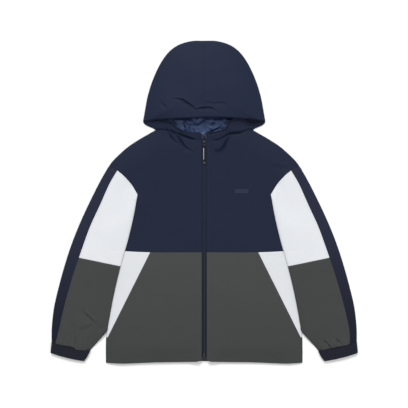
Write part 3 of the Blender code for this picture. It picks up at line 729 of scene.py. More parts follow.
PAINTED_SHADE_RIGHT = (-0.078, -0.092)  # the lining goes over to the painted shade at its ends here
PAINTED_SHADE_LEFT = (0.060, 0.074)


def nylon(
    name, colour, roughness=0.6, turn=0.0, contrast=0.06, fade=(1.0, 1.0), low=None, reach=BODY_FADE,
):
    """Fine plain-weave nylon: crossed yarns, a faint unevenness of dye, and small crinkles. fade is how
    much of the colour there is at the two heights of reach, and low is the colour at the lower one:
    this change with height is painted shade, darker towards the bottom where the light falls off."""
    look = Look(name, Specular_IOR_Level=0.12)
    where, (x, y, _) = look.place()
    height = look.between(y, *reach)
    if turn:
        where, (x, y, _) = look.place(turn)
    weave = x.ribs(YARN) * y.ribs(YARN)
    slub = look.noise(where, 900, 2)
    cloudy = look.noise(where, 9, 4, 0.6)
    fine = look.noise(where, 140, 3, 0.6)
    # painted shade: the colour goes darker from the upper height to the lower one
    dye_and_painted_shade = look.mix(height, darker(low or colour, fade[0]), darker(colour, fade[1]))
    uneven = look.mix(cloudy * 0.6 + fine * 0.4, (1 - contrast,) * 3, (1 + contrast,) * 3)
    dye_and_painted_shade = look.mix(1.0, dye_and_painted_shade, uneven, "MULTIPLY")
    dye_and_painted_shade = look.mix(weave * 0.08 + 0.08, dye_and_painted_shade, darker(colour, 0.7))
    creased = look.noise(where, 55, 4, 0.62)
    relief = look.bump(creased, 0.5, 0.001, look.bump(weave + slub * 0.6, 0.35, 0.00012))
    return look.set(Base_Color=dye_and_painted_shade, Roughness=roughness + (fine - 0.5) * 0.14, Normal=relief).material


def lining_look():
    """Crinkled taffeta with a soft gloss, and painted shade that darkens its colour at the mouth's two ends.
    """
    look = Look("taffeta_lining", Specular_IOR_Level=0.9, Specular_Tint=(0.48, 0.62, 1.0))
    where, (x, y, _) = look.place()
    cloudy = look.noise(where, 30, 4, 0.6)
    colour = look.mix(cloudy, darker(LINING, 0.7), darker(LINING, 1.35))
    # painted shade: the colour darkens at the mouth's two ends, where the hood would shade the lining; these
    # ends also get a duller gloss
    ends = look.between(x, *PAINTED_SHADE_RIGHT) + look.between(x, *PAINTED_SHADE_LEFT)
    colour = look.mix(ends, colour, darker(LINING, 0.55))
    crease = look.noise(where, 60, 5, 0.65)
    weave = x.ribs(LINING_YARN) * y.ribs(LINING_YARN)
    relief = look.bump(crease, 0.9, 0.003, look.bump(weave, 0.3, 0.0001))
    gloss = 0.28 + cloudy * 0.1 + ends * 0.2
    return look.set(Base_Color=colour, Roughness=gloss, Normal=relief).material


def elastic_look():
    """The dull knit of the elastic cuffs."""
    look = Look("elastic_band", Specular_IOR_Level=0.22, Sheen_Weight=0.1)
    where, _ = look.place()
    fine = look.noise(where, 160)
    colour = look.mix(fine, darker(ELASTIC, 0.85), darker(ELASTIC, 1.15))
    relief = look.bump(fine, 0.5, 0.0004)
    return look.set(Base_Color=colour, Roughness=0.7 + fine * 0.1, Normal=relief).material


def tape_look():
    """Woven zip tape: close ribs along its length, with its top end sealed."""
    look = Look("zip_tape_weave", Specular_IOR_Level=0.2)
    _, (x, y, _) = look.place()
    ribs = x.ribs(0.0009) * 0.5 + 0.5
    chevron = y.ribs(0.0016) * 0.5 + 0.5
    colour = look.mix(ribs * 0.6 + chevron * 0.4, *TAPE_NAVY)
    colour = look.mix(look.between(y, *ZIP_FADE), colour, darker(TAPE_GREY, 0.95))
    colour = look.mix(look.between(y, *SEALED_FROM), colour, TAPE_SEALED)
    relief = look.bump(ribs + chevron * 0.5, 0.6, 0.0002)
    return look.set(Base_Color=colour, Roughness=0.72 + ribs * 0.1, Normal=relief).material


def coil_look():
    """The chain's nylon coil, a little glossier than the tape."""
    look = Look("nylon_coil", Specular_IOR_Level=0.3)
    where, (_, y, _) = look.place()
    fine = look.noise(where, 600, 2)
    colour = look.mix(fine, *COIL_NAVY)
    colour = look.mix(look.between(y, *ZIP_FADE), colour, COIL_GREY)
    return look.set(Base_Color=colour, Roughness=0.38 + fine * 0.15).material


def metal_look(name, colour, roughness, brushed=0.0):
    """Plated metal with faint casting marks, and brushed along its length if asked."""
    look = Look(name, Metallic=0.92)
    where, (_, y, _) = look.place()
    fine = look.noise(where, 500)
    marks = look.noise(where, 90, 4, 0.65)
    colour = look.mix(marks, darker(colour, 0.8), darker(colour, 1.2))
    relief = look.bump(fine + y.ribs(0.0005) * brushed, 0.25, 0.0001)
    return look.set(Base_Color=colour, Roughness=roughness + marks * 0.12, Normal=relief).material


def thread_look(name, colour):
    """Twisted sewing thread."""
    look = Look(name, Specular_IOR_Level=0.3, Sheen_Weight=0.1)
    _, (x, y, _) = look.place()
    twist = (x + y).ribs(0.0006) * 0.5 + 0.5
    colour = look.mix(twist, darker(colour, 0.75), darker(colour, 1.25))
    return look.set(Base_Color=colour, Roughness=0.55 + twist * 0.1).material


def film_look():
    """The chest bar's film, a shade lighter than the cloth."""
    look = Look("tonal_film", Specular_IOR_Level=0.28)
    where, _ = look.place()
    fine = look.noise(where, 300)
    colour = look.mix(fine, darker(NAVY, 1.05), darker(NAVY, 1.3))
    return look.set(Base_Color=colour, Roughness=0.5 + fine * 0.1).material


def paper_look():
    """The floor's white paper."""
    look = Look("floor_paper", Specular_IOR_Level=0.0)
    where, _ = look.place()
    fine = look.noise(where, 3, 2)
    colour = look.mix(fine, (0.955, 0.955, 0.955), (0.965, 0.965, 0.965))
    return look.set(Base_Color=colour, Roughness=0.9 + fine * 0.05).material


LOOKS = {
    "navy": nylon("navy_nylon", NAVY),
    # painted light: the hood's navy is made a tenth lighter than the body's, for the stronger light on the
    # hood
    "navy_hood_lit": nylon("navy_nylon_hood_lit", darker(NAVY, 1.1)),
    # painted shade: the sleeve stripe, the lower body and the sleeve band darken towards the bottom, where
    # the light falls off
    "navy_sleeve": nylon("navy_nylon_sleeve", SLEEVE_NAVY, turn=GRAIN, low=SLEEVE_NAVY_SHADED, reach=SLEEVE_FADE),
    "charcoal": nylon("charcoal_nylon", CHARCOAL, fade=(0.89, 1.26)),
    "charcoal_sleeve": nylon("charcoal_nylon_sleeve", CHARCOAL, turn=GRAIN, fade=(0.93, 1.0)),
    "white": nylon("white_nylon", darker(WHITE, 0.95), 0.55, contrast=0.012),
    "white_sleeve": nylon("white_nylon_sleeve", WHITE, 0.55, GRAIN, contrast=0.012),
    "lining": lining_look(),
    "elastic": elastic_look(),
    "tape": tape_look(),
    "coil": coil_look(),
    "gunmetal": metal_look("gunmetal_plate", (0.045, 0.047, 0.053), 0.45),
    "steel": metal_look("dull_steel", (0.062, 0.066, 0.070), 0.42),
    "dark_steel": metal_look("dark_steel", (0.026, 0.029, 0.034), 0.45),
    # painted shadow: the near-black of the block on the slider
    "gap_shadow_black": metal_look("gap_shadow_black", (0.006, 0.007, 0.009), 0.5),
    "silver": metal_look("satin_silver", (0.50, 0.51, 0.52), 0.3, 0.3),
    "navy_thread": thread_look("navy_thread", (0.026, 0.033, 0.062)),
    "charcoal_thread": thread_look("charcoal_thread", (0.075, 0.081, 0.078)),
    "film": film_look(),
}


def dress(piece, look, *nodes, body=BODY):
    """Gives a piece its look, body, slot and the nodes that it stands for."""
    piece.data.materials.clear()
    piece.data.materials.append(LOOKS[look])
    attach(piece, body)
    if nodes:
        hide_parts(*nodes)
    return piece


def name_of(stem, side=0):
    return {-1: stem + "_right", 0: stem, 1: stem + "_left"}[side]


def cloth_of(stem, side=0):
    return name_of(stem, side) + "_cloth"


def panel(stem, side, grids, face, look, rests_on=(), under=False, lined=False, thick=CLOTH):
    """A cut piece of cloth that stands for the node of its name."""
    made = wall_mesh(cloth_of(stem, side), grids, face, thick, side or 1, under, lined)
    dress(made, look, name_of(stem, side))
    if lined:
        made.data.materials.append(LOOKS["lining"])
    round(cut_area(grids), 4)


# ---------------------------------------------------------------- body panels

NECK_STRETCH = (0, 170, 2.0)    # from, to, step: closer points where the small folds are
CENTRE_STRETCH = (0, 92, 1.5)
CUFF_STRETCH = (120, 275, 1.9)
BRIM_STRETCH = (160, 230, 1.5)
FRONT_WIDE = 200                # about the panels' widths and lengths, for the spacing of their points
LOWER_WIDE = 230
TRIANGLE_LONG, TRIANGLE_WIDE = 256, 110
BACK_WIDE = 500
SLEEVE_HIGH, SLEEVE_LOW = 280, 275
SLEEVE_WIDE = 130
STRIPE_WIDE = 28
HOOD_LONG, HOOD_WIDE, HOOD_UNDER_WIDE = 230, 170, 160
COLLAR_WIDE = 200


def front_side_line():
    """A front's outer edge, from the shoulder over the armhole to the yoke."""
    parts = [SHOULDER_LINE, ARM_SEAM[1:], UNDER_LINE[1:], between(SIDE_LINE, PIT[1], YOKE[-1][1])[1:]]
    return np.vstack(parts)


def front_upper(side):
    line = front_side_line()
    right = along(line, shares(length_of(line), STEP, NECK_STRETCH))
    left = by_height(right, YOKE_Y, NECKLINE[side][0][1], FRONT_EDGE_X)
    neck = NECK_LINES[side].copy()
    neck[0, 0] = FRONT_EDGE_X
    across = shares(FRONT_WIDE, STEP, CENTRE_STRETCH)
    grid = patch(neck, YOKE, left, right, across)
    panel("front_upper", side, [grid], front_face, "navy", [cloth_of("back_upper")])


def front_lower(side):
    side_edge = between(SIDE_LINE, TRIANGLE_TIP[1] - 4, HEM_LINE[-1][1])
    edge = np.vstack([TRIANGLE_SEAM, side_edge])
    right = along(edge, shares(length_of(edge), STEP))
    left = by_height(right, HEM_LINE[0][1], YOKE_Y, FRONT_EDGE_X)
    hem = HEM_LINE.copy()
    hem[0, 0] = FRONT_EDGE_X
    grid = patch(YOKE[:3], hem, left, right, shares(LOWER_WIDE, STEP))
    panel("front_lower", side, [grid], front_face, "charcoal", [cloth_of("back_lower")])


def front_triangle(side):
    rows = shares(TRIANGLE_LONG, STEP)
    left = along(TRIANGLE_SEAM, rows)
    right = along(between(SIDE_LINE, YOKE[-1][1], TRIANGLE_TIP[1]), rows)
    grid = patch(YOKE[2:], [left[-1], right[-1]], left, right, shares(TRIANGLE_WIDE, STEP))
    panel("front_side", side, [grid], front_face, "white", [cloth_of("back_lower")])


def back_panels():
    upper = np.vstack([SHOULDER_LINE, BACK_ARMHOLE_LINE[1:], between(SIDE_LINE, PIT[1], YOKE_Y)[1:]])
    lower = between(SIDE_LINE, YOKE_Y, BACK_HEM_Y)
    for stem, edge, look in (("back_upper", upper, "navy"), ("back_lower", lower, "charcoal")):
        points = along(edge, shares(length_of(edge), 2 * STEP))
        left = points * (-1, 1)
        across = shares(BACK_WIDE, 2 * STEP)
        grid = patch([left[0], points[0]], [left[-1], points[-1]], left, points, across)
        panel(stem, 0, [grid], flat_ground, look, under=True)


# ---------------------------------------------------------------- sleeves

CUFF_LAPS = {           # how far the sleeve laps over its cuff, at these distances from the centre line
    -1: [(341.5, 0.5), (350, 3), (364, 5), (383, 6.5), (389, 1.2), (404, 0.3), (428, 1.2), (446, 0)],
    1: [(341.5, 0.3), (350, 2.6), (364, 3), (376, 0.4), (386, 1.6), (398, 0.2), (406, 1.4), (428, 1.6),
        (436, 0)],
}
SCALLOP_POINTS = 120
FINE = 0.7 * STEP
OUTER_LEAD = 7.0        # the stripe's rows lean, so its outer edge turns this much higher


def scallops(start, end, side):
    """The sleeve's lower edge between two points: gathered cloth that laps unevenly over the cuff."""
    start, end = np.array(start, float), np.array(end, float)
    line = start + (end - start) * np.linspace(0, 1, SCALLOP_POINTS)[:, None]
    run = (end - start) / np.linalg.norm(end - start)
    down = np.array([run[1], -run[0]])
    lap = np.interp(line[:, 0], *np.array(CUFF_LAPS[side]).T)
    lap += 0.5 * cloud(line[:, 0], line[:, 1], 9, SEED + 75 + side)
    lap[0] = lap[-1] = 0
    return line + down * np.sign(-down[1]) * np.maximum(lap, 0)[:, None]


def sleeve_panels(side):
    """The sleeve's upper side: white and charcoal inside the stripe, whose seam they share."""
    turn_y, fold_turn = SLEEVE_BAND_SEAM[0][1], SLEEVE_BAND_SEAM[1][1]
    line = STRIPE_LINES[side]
    high, low = shares(SLEEVE_HIGH, STEP), shares(SLEEVE_LOW, STEP, CUFF_STRETCH)
    seam_high = along(between(line, line[0][1], turn_y), high)
    seam_low = along(between(line, turn_y, line[-1][1]), low)
    fold_high = along(between(FOLD_LINE, FOLD_LINE[0][1], fold_turn), high)
    fold_low = along(between(FOLD_LINE, fold_turn, FOLD_LINE[-1][1]), low)
    outer_turn = turn_y + OUTER_LEAD
    outer_high = along(between(OUTER_LINE, OUTER_LINE[0][1], outer_turn), high)
    outer_low = along(between(OUTER_LINE, outer_turn, OUTER_LINE[-1][1]), low)
    corner = (line[-1][0], np.interp(line[-1][0], *np.array(CUFF_LINE[::-1]).T))
    seam_low[-1] = corner
    across = shares(SLEEVE_WIDE, FINE)
    rests = [cloth_of("sleeve_under", side)]

    white = patch(ARMHOLE_LINE, SLEEVE_BAND_SEAM, seam_high, fold_high, across)
    panel("sleeve_white", side, [white], sleeve_face, "white_sleeve", rests)
    band = patch(SLEEVE_BAND_SEAM, scallops(corner, CUFF_LINE[1], side), seam_low, fold_low, across)
    panel("sleeve_band", side, [band], sleeve_face, "charcoal_sleeve", rests)
    seam, outer = np.vstack([seam_high, seam_low[1:]]), np.vstack([outer_high, outer_low[1:]])
    stripe = patch([outer[0], seam[0]], [outer[-1], seam[-1]], outer, seam, shares(STRIPE_WIDE, FINE))
    panel("sleeve_stripe", side, [stripe], sleeve_face, "navy_sleeve", rests)


UNDER_COLUMNS, UNDER_ROWS = 17, 60      # of points beside the body, and down the tube
LAP_COLUMNS, LAP_ROWS = 11, 16
BESIDE_ROWS = 30
BESIDE_START = 0.02     # of its length that the part beside the body stays below the armhole's top


def sleeve_under(side):
    """The underside in three grids: the tube below the pit, the part beside the body, the lap on it."""
    tucked = FOLD_LINE + (FOLD_TUCK, 0)
    pit = np.array(PIT, float)
    outer_pit = between(OUTER_LINE, PIT_ROW_OUTER_Y, OUTER_LINE[-1][1])[0]
    inner_pit = between(tucked, PIT_ROW_INNER_Y, tucked[-1][1])[0]
    reach = np.linalg.norm(pit - outer_pit)
    share = reach / (reach + np.linalg.norm(inner_pit - pit))
    outside, tongue = np.linspace(0, share, UNDER_COLUMNS), np.linspace(share, 1, LAP_COLUMNS)
    across = np.concatenate([outside, tongue[1:]])
    down = np.linspace(0, 1, UNDER_ROWS)
    outer = along(between(OUTER_LINE, PIT_ROW_OUTER_Y, OUTER_LINE[-1][1]), down)
    fold = along(between(tucked, PIT_ROW_INNER_Y, tucked[-1][1]), down)
    tube = patch([outer_pit, pit, inner_pit], CUFF_LINE, outer, fold, across)
    rise = np.linspace(BESIDE_START, 1, BESIDE_ROWS)
    outer_high = along(between(OUTER_LINE, OUTER_LINE[0][1], PIT_ROW_OUTER_Y), rise)
    back = along(BACK_ARMHOLE_LINE, rise)
    upper = patch([outer_high[0], back[0]], [outer_pit, pit], outer_high, back, outside / share)
    steps = np.linspace(0, 1, LAP_ROWS)
    start = tucked[0][1] - LAP_START
    fold_high = along(between(tucked, start, PIT_ROW_INNER_Y), steps)
    under = along(between(UNDER_LINE, start, PIT[1]), steps)
    lap = patch([under[0], fold_high[0]], [pit, inner_pit], under, fold_high, (tongue - share) / (1 - share))
    upper[-1], lap[-1] = tube[0, :UNDER_COLUMNS], tube[0, UNDER_COLUMNS - 1:]
    rests = [cloth_of("front_upper", side), cloth_of("front_lower", side)]
    panel("sleeve_under", side, [tube, upper, lap], sleeve_floor, "navy_sleeve", rests, under=True)


# ---------------------------------------------------------------- hood and collar

CROWN_SHARE = 0.42      # of the hood's rim that is its crown, the rest its flank


def hood(side):
    """The half's upper layer, and the same half where it lies on the ground."""
    corner = int(CROWN_SHARE * len(HOOD_LINE))
    crown, flank = HOOD_LINE[: corner + 1], HOOD_LINE[corner:]
    rows = shares(HOOD_LONG, STEP, BRIM_STRETCH)
    right = along(flank, rows)
    left = np.stack([np.zeros(len(rows)), HOOD_EDGE[0][1] + rows * (BRIM_Y - HOOD_EDGE[0][1])], axis=1)
    grid = patch(crown, BRIM_LINES[side], left, right, shares(HOOD_WIDE, FINE))
    rests = [cloth_of("hood_under", side)]
    panel("hood", side, [grid], hood_face, "navy_hood_lit", rests, lined=True, thick=HOOD_CLOTH)

    edge = np.vstack([flank, FOOT_LINE[1:]])
    right = along(edge, shares(length_of(edge), 2 * STEP))
    left = by_height(right, NECK_Y, HOOD_EDGE[0][1], 0)
    across = shares(HOOD_UNDER_WIDE, 2 * STEP)
    grid = patch(crown, [(0, NECK_Y), right[-1]], left, right, across)
    panel("hood_under", side, [grid], flat_ground, "navy", under=True)


COLLAR_ROWS = 31
COLLAR_STEP = 0.6 * STEP
TURN_IN = (2, 12)       # the right side's turn comes in from here, over this,
TURN_OUT = (100, 30)    # and goes out from here, over this
TURN_OUT_LEFT = (11, 9)
ROLL_FROM = {-1: (56, 12), 1: (6, 12)}  # the edge's roll starts this far from the centre line, over this
ROLL_CLEAR = 8          # and dies out this close to the neck
COLLAR_MIDDLE = (70, 70)        # the collar stands up from the centre line to here, and less over this
COLLAR_RIPPLE = (0.9, 17)       # height and spacing
ROLL = (1.0, 1.8)       # height and half width of the roll along its edge
DIP = (2.6, 4.6, 1.9)   # depth, distance from the edge and half width of the dip under it


def collar(side):
    """The hood's foot in front of the neck, turned over at its edge."""
    edge = smooth(COLLAR_EDGE[side])
    if side < 0:
        turn_in, turn_out = eased(ramp(edge[:, 0], *TURN_IN)), eased(ramp(edge[:, 0], *TURN_OUT))
        edge[:, 1] += COLLAR_TURN * turn_in * (1 - turn_out)
    else:
        edge[:, 1] += COLLAR_TURN * (1 - eased(ramp(edge[:, 0], *TURN_OUT_LEFT)))
    neck = NECK_LINES[side].copy()
    neck[0, 0] = edge[0, 0] = FRONT_EDGE_X
    rows = np.linspace(0, 1, COLLAR_ROWS)
    foot = along(FOOT_LINE, rows)
    foot[0] = COLLAR_EDGE[side][-1]
    falls = edge[0, 1] + rows * (neck[0, 1] - edge[0, 1])
    left = np.stack([np.full(COLLAR_ROWS, FRONT_EDGE_X), falls], axis=1)
    grid = patch(edge, neck, left, foot, shares(COLLAR_WIDE, COLLAR_STEP))

    def face(x, y):
        half = np.abs(x)
        to_edge, to_neck = distance(half, y, edge), distance(half, y, neck)
        rise = to_neck / np.maximum(to_edge + to_neck, 1e-3)
        middle = 1 - eased(ramp(half, *COLLAR_MIDDLE))
        ripple = COLLAR_RIPPLE[0] * cloud(x, y, COLLAR_RIPPLE[1], SEED + 80) * rise
        roll = ROLL[0] * np.exp(-((to_edge / ROLL[1]) ** 2))
        roll = roll - DIP[0] * np.exp(-(((to_edge - DIP[1]) / DIP[2]) ** 2))
        roll = roll * ramp(to_neck, 0, ROLL_CLEAR) * ramp(half, *ROLL_FROM[side])
        return clear_of_lower(front_face(x, y) + (COLLAR_RISE + ripple) * rise * middle + roll)

    rests = [cloth_of("front_upper", side)]
    panel("collar", side, [grid], face, "navy", rests, lined=True, thick=COLLAR_CLOTH)


LINING_HALF = 126.0     # half its width at the mouth
LINING_Y = (300.0, 196.0)
LINING_Z = 2.4
LINING_GRID = (44, 90)          # rows and columns of points
LINING_BOW = (0.35, 248, 52)    # its sides draw in by this share, away from here, over this
LINING_ROOM = (4.5, 6.0, 10.0)  # crumples grow from where the front is this high, over this, up to here
LINING_SIDES = (0.9, 30)        # they die out beyond this share of its width, over this,
LINING_TOP = 20                 # and over this below its top
LINING_UNDER_BRIM = (243, 10)   # from here up, over this, it lies flatter
LINING_RISE = 2.0
LINING_HUMPS = [(3.2, 27), (1.6, 11)]   # height and spacing of the crumples


def hood_lining():
    """The lining where the mouth shows it, crumpled, flat under the brim and the collar."""
    rows, columns = LINING_GRID
    drawn, middle, reach = LINING_BOW
    ys = np.linspace(*LINING_Y, rows)
    bow = LINING_HALF * (1 - drawn * ((ys - middle) / reach) ** 2)
    left, right = np.stack([-bow, ys], axis=1), np.stack([bow, ys], axis=1)
    grid = patch([left[0], right[0]], [left[-1], right[-1]], left, right, np.linspace(0, 1, columns))

    def face(x, y):
        start, width, top = LINING_ROOM
        room = ramp(np.minimum(front_height(x, y), top), start, width)
        sides = ramp(LINING_HALF * LINING_SIDES[0] - np.abs(x), 0, LINING_SIDES[1])
        rim = sides * ramp(LINING_Y[0] - y, 0, LINING_TOP)
        under_brim = eased(ramp(y, *LINING_UNDER_BRIM))
        (high, wide), (low, fine) = LINING_HUMPS
        broad = 1 - np.abs(cloud(x - 0.3 * y, 0.45 * x + y, wide, SEED + 91))
        small = 1 - np.abs(cloud(x + 0.4 * y, y - 0.2 * x, fine, SEED + 90))
        crumpled = high * broad**3 + low * small**3 + fold_relief(x, y, LINING_FOLDS)
        return LINING_Z + room * rim * np.maximum((1 - 0.8 * under_brim) * (LINING_RISE + crumpled), 0)

    rests = [cloth_of("hood_under", 1), cloth_of("hood_under", -1)]
    panel("hood_lining", 0, [grid], face, "lining", rests, thick=LINING_CLOTH)


# ---------------------------------------------------------------- solid pieces

def ring_of(bm, points):
    """New vertices at these places, given in millimetres."""
    return [bm.verts.new((x * MM, y * MM, z * MM)) for x, y, z in points]


def loft(bm, rings, capped=True):
    """Faces from each closed ring to the next, and over both ends."""
    for a, b in zip(rings[:-1], rings[1:]):
        for k in range(len(a)):
            n = (k + 1) % len(a)
            bm.faces.new((a[k], a[n], b[n], b[k]))
    if capped:
        bm.faces.new(rings[0])
        bm.faces.new(rings[-1])


def rounded_box(bm, low, high, radius, segments=3):
    made = bmesh.ops.create_cube(bm, size=1)["verts"]
    for vert in made:
        vert.co = Vector([(lo + (c + 0.5) * (hi - lo)) * MM for c, lo, hi in zip(vert.co, low, high)])
    edges = list(dict.fromkeys(e for v in made for e in v.link_edges))
    bmesh.ops.bevel(bm, geom=edges, offset=radius * MM, segments=segments, affect="EDGES", profile=0.5)


def bar(bm, half, ys, zs, radius, segments=3):
    """A rounded box across the centre line."""
    rounded_box(bm, (-half, ys[0], zs[0]), (half, ys[1], zs[1]), radius, segments)


def finish_mesh(name, bm, sharp=50):
    bmesh.ops.recalc_face_normals(bm, faces=bm.faces)
    mesh = bpy.data.meshes.new(name)
    bm.to_mesh(mesh)
    bm.free()
    return smooth_piece(name, mesh, sharp)


# ---------------------------------------------------------------- cuffs

CUFF_DEPTH = 30.5
CUFF_HEIGHT = 10.6
CUFF_WALL = 1.4
CUFF_GATHERS = 11
CUFF_BOW = 2.6          # the cuff's open edge bows out by this at its middle
CUFF_LIP = 1.3          # its two edges round off by this
CUFF_AROUND, CUFF_ROWS = 264, 30
ELASTIC_ROW = 0.3       # of the cuff's depth, from one row of elastic stitching to the next
CUFF_DENT = (1.25, 0.4) # how deep the gathers and the rows of stitching are
CUFF_SQUARE = 0.35      # the power that makes the band's round section nearly square


def cuff_gathering(t, share, phase):
    """How far the gathers and the rows of stitching draw the upper side in."""
    wander = 0.5 * math.sin(3 * t + phase[0]) + 0.3 * math.sin(8 * t + phase[1] + 2.2 * share)
    gather = 0.5 - 0.5 * math.cos(2 * CUFF_GATHERS * t + 2.4 * wander)
    uneven = 0.65 + 0.35 * math.sin(5 * t + phase[2])
    row = math.exp(-(((share % ELASTIC_ROW) - ELASTIC_ROW / 2) / 0.035) ** 2)
    return (CUFF_DENT[0] * gather**1.5 * uneven + CUFF_DENT[1] * row) * math.sin(t) ** 0.5


def cuff_ring(side, share, inset, phase):
    """The band's section at a share of its depth: its outer side, or the inner one with the inset."""
    outer_end, inner_end = along(CUFF_OUTER, [share])[0], along(CUFF_INNER, [share])[0]
    middle = (outer_end + inner_end) / 2
    half = np.linalg.norm(inner_end - outer_end) / 2
    across = (inner_end - outer_end) / (2 * half)
    fall = np.array([across[1], -across[0]]) * (1 if across[0] > 0 else -1)
    lip = 0 if inset else CUFF_LIP * (1 - math.sqrt(max(0.0, 1 - (2 * share - 1) ** 8)))
    high = CUFF_HEIGHT / 2 - inset - lip
    for k in range(CUFF_AROUND):
        t = 2 * math.pi * k / CUFF_AROUND
        up = math.sin(t)
        x = (half - inset) * math.cos(t)
        z = math.copysign(high * abs(up) ** CUFF_SQUARE, up)
        if not inset and up > 0:
            z -= cuff_gathering(t, share, phase)
        plan = middle - across * x + CUFF_BOW * share * (1 - (x / half) ** 2) * fall
        yield side * plan[0], plan[1], CUFF_HEIGHT / 2 + z


def cuff(side):
    """The elastic band: gathered cloth with rows of elastic stitching, flat underneath."""
    bm = bmesh.new()
    phase = np.random.default_rng(SEED + 5 + side).uniform(0, 6.28, 6)
    outer, inner = [], []
    for share in np.linspace(GAP / CUFF_DEPTH, 1, CUFF_ROWS):
        outer.append(ring_of(bm, cuff_ring(side, share, 0.0, phase)))
        inner.append(ring_of(bm, cuff_ring(side, share, CUFF_WALL, phase)))
    for rings in (outer, inner, (outer[0], inner[0]), (outer[-1], inner[-1])):
        loft(bm, rings, capped=False)
    made = finish_mesh(name_of("cuff", side) + "_elastic", bm)
    dress(made, "elastic", name_of("cuff", side))
    cloth_of("sleeve_band", side)


# ---------------------------------------------------------------- stitching

STITCH_PITCH = 3.1
STITCH = 2.3
THREAD = 0.27           # its radius
STITCH_END = (0.9, 0.45)        # its ends sink by this, and are this thin, both shares of the radius
STITCH_RISE = 0.7       # and its middle rises by this
DIAMOND = ((1, 0), (0, 1), (-1, 0), (0, -1))


def stitch_row(line, face, side, bm):
    """Lockstitches that lie on the cloth along a plan line."""
    total = length_of(line)
    starts = np.arange(STITCH_PITCH * 0.5, total - STITCH, STITCH_PITCH) / total
    a, b = along(line, starts), along(line, starts + STITCH / total)
    za = face(side * a[:, 0], a[:, 1])
    zb = face(side * b[:, 0], b[:, 1])
    for (ax, ay), (bx, by), ha, hb in zip(a, b, za, zb):
        start, end = Vector((side * ax, ay, ha)), Vector((side * bx, by, hb))
        run = (end - start).normalized()
        cross = run.cross(Vector((0, 0, 1))).normalized() * THREAD
        up = Vector((0, 0, THREAD))
        sink, thin = up * STITCH_END[0], STITCH_END[1]
        middle = (start + end) / 2 + up * STITCH_RISE
        rings = []
        for centre, size in ((start - sink, thin), (middle, 1.0), (end - sink, thin)):
            places = [(centre + (cross * c + up * s) * size) * MM for c, s in DIAMOND]
            rings.append([bm.verts.new(place) for place in places])
        loft(bm, rings)


def shifted(line, away):
    """A plan line moved sideways (positive to its left)."""
    line = np.asarray(line, float)
    run = np.gradient(line, axis=0)
    normal = np.stack([-run[:, 1], run[:, 0]], axis=1)
    normal /= np.linalg.norm(normal, axis=1, keepdims=True)
    return line + normal * away


def dense(line, step=4.0):
    return along(line, np.linspace(0, 1, max(3, int(length_of(line) / step))))


PLACKET_X = FRONT_EDGE_X + 5.5
BESIDE = 3              # topstitching's distance from its seam


def stitching(side):
    """Topstitching beside the seams, one piece for each colour of thread."""
    stripe = between(STRIPE_LINES[side], 90, -420)
    rows = {
        "navy_thread": [
            (dense([(PLACKET_X, 184), (PLACKET_X, YOKE_Y + 1)]), front_face),
            (dense(np.array(YOKE, float) + (1.5, BESIDE)), front_face),
            (shifted(dense(ARMHOLE_LINE), BESIDE), front_face),
            (shifted(dense(NECK_LINES[side][3:]), -BESIDE), front_face),
            (shifted(dense(stripe), -BESIDE), sleeve_face),
            (dense(BRIM_LINES[side][1:-3] + (0, BRIM_FOLD)), hood_face),
        ],
        "charcoal_thread": [
            (dense([(PLACKET_X, YOKE_Y - 1), (PLACKET_X, -470)]), front_face),
            (dense(HEM_LINE[6:] + (0, HEM_FOLD)), front_face),
            (shifted(dense(TRIANGLE_SEAM), -BESIDE), front_face),
            (shifted(dense(SLEEVE_BAND_SEAM), BESIDE), sleeve_face),
        ],
    }
    for thread, lines in rows.items():
        bm = bmesh.new()
        for line, face in lines:
            stitch_row(line, face, side, bm)
        dress(finish_mesh(name_of(thread, side), bm, 60), thread)


# ---------------------------------------------------------------- zip

TAPE_FACE = FRONT_Z + BODY_AIR - GAP
TAPE_Y = (203, -452)
TAPE_ROWS = 221
TAPE_SECTION = [
    (1.7, -1.0), (1.7, -0.25), (2.3, 0.0), (3.0, -0.22), (8.0, -0.25), (11.4, -0.3), (11.9, -0.5),
    (11.9, -1.0),
]
CHAIN_TOP = 163.0
CHAIN_END = -452.0
TOOTH_PITCH = 1.5
TOOTH = [(-1.3, 0.0), (-1.0, 0.42), (-0.2, 0.6), (0.55, 0.5), (0.75, 0.15)]
TOOTH_WIRE = ((-0.5, 0.0), (-0.34, 0.25), (0.34, 0.25), (0.5, 0.0), (0.0, -0.45))
BOX_Y = (-470.9, -452.5)
BOX_RIB_Y = (-465, -456)
SLIDER_Y = (166.0, 184.0)
PLATE_Z = TAPE_FACE + 1.1       # the underside of the slider's upper plate
BRIDGE_WIRE = (
    (-1.2, -0.35), (-1.2, 0.35), (-0.8, 0.55), (0.8, 0.55), (1.2, 0.35), (1.2, -0.35), (0.8, -0.5),
    (-0.8, -0.5),
)
# painted shadow: a black block spans these places on the slider, where the gap between the pull's arms and
# the bridge lies in shade
GAP_SHADOW_Y = (173.3, 176.5)
PIN_Y = 170.0
PIN_Z = 13.95
PIN = 0.6               # half its thickness
ARM_X = 1.75            # the pull's arms hold the pin from here out
ARM = 0.9
TAB_Y = (124.6, PIN_Y - 6.6)
NECK_TAB_Y = (118.0, 126.0)
GRIP_Y = (112.8, 119.6)
STRIPE_X = (-2.7, -0.7)
STRIPE_Y = (126.6, 160.6)
PULL_Z = FRONT_Z + BODY_AIR + WALL + 0.4        # the pull's tab hangs over the zip from here


def zip_tapes():
    """The two woven tapes, each with a raised cord beside the chain."""
    for side in (-1, 1):
        bm = bmesh.new()
        rings = []
        for y in np.linspace(*TAPE_Y, TAPE_ROWS):
            rings.append(ring_of(bm, [(side * x, y, TAPE_FACE + z) for x, z in TAPE_SECTION]))
        loft(bm, rings)
        made = finish_mesh(name_of("zip_tape", side) + "_woven", bm)
        dress(made, "tape", name_of("zip_tape", side))
        cloth_of("front_upper", side)


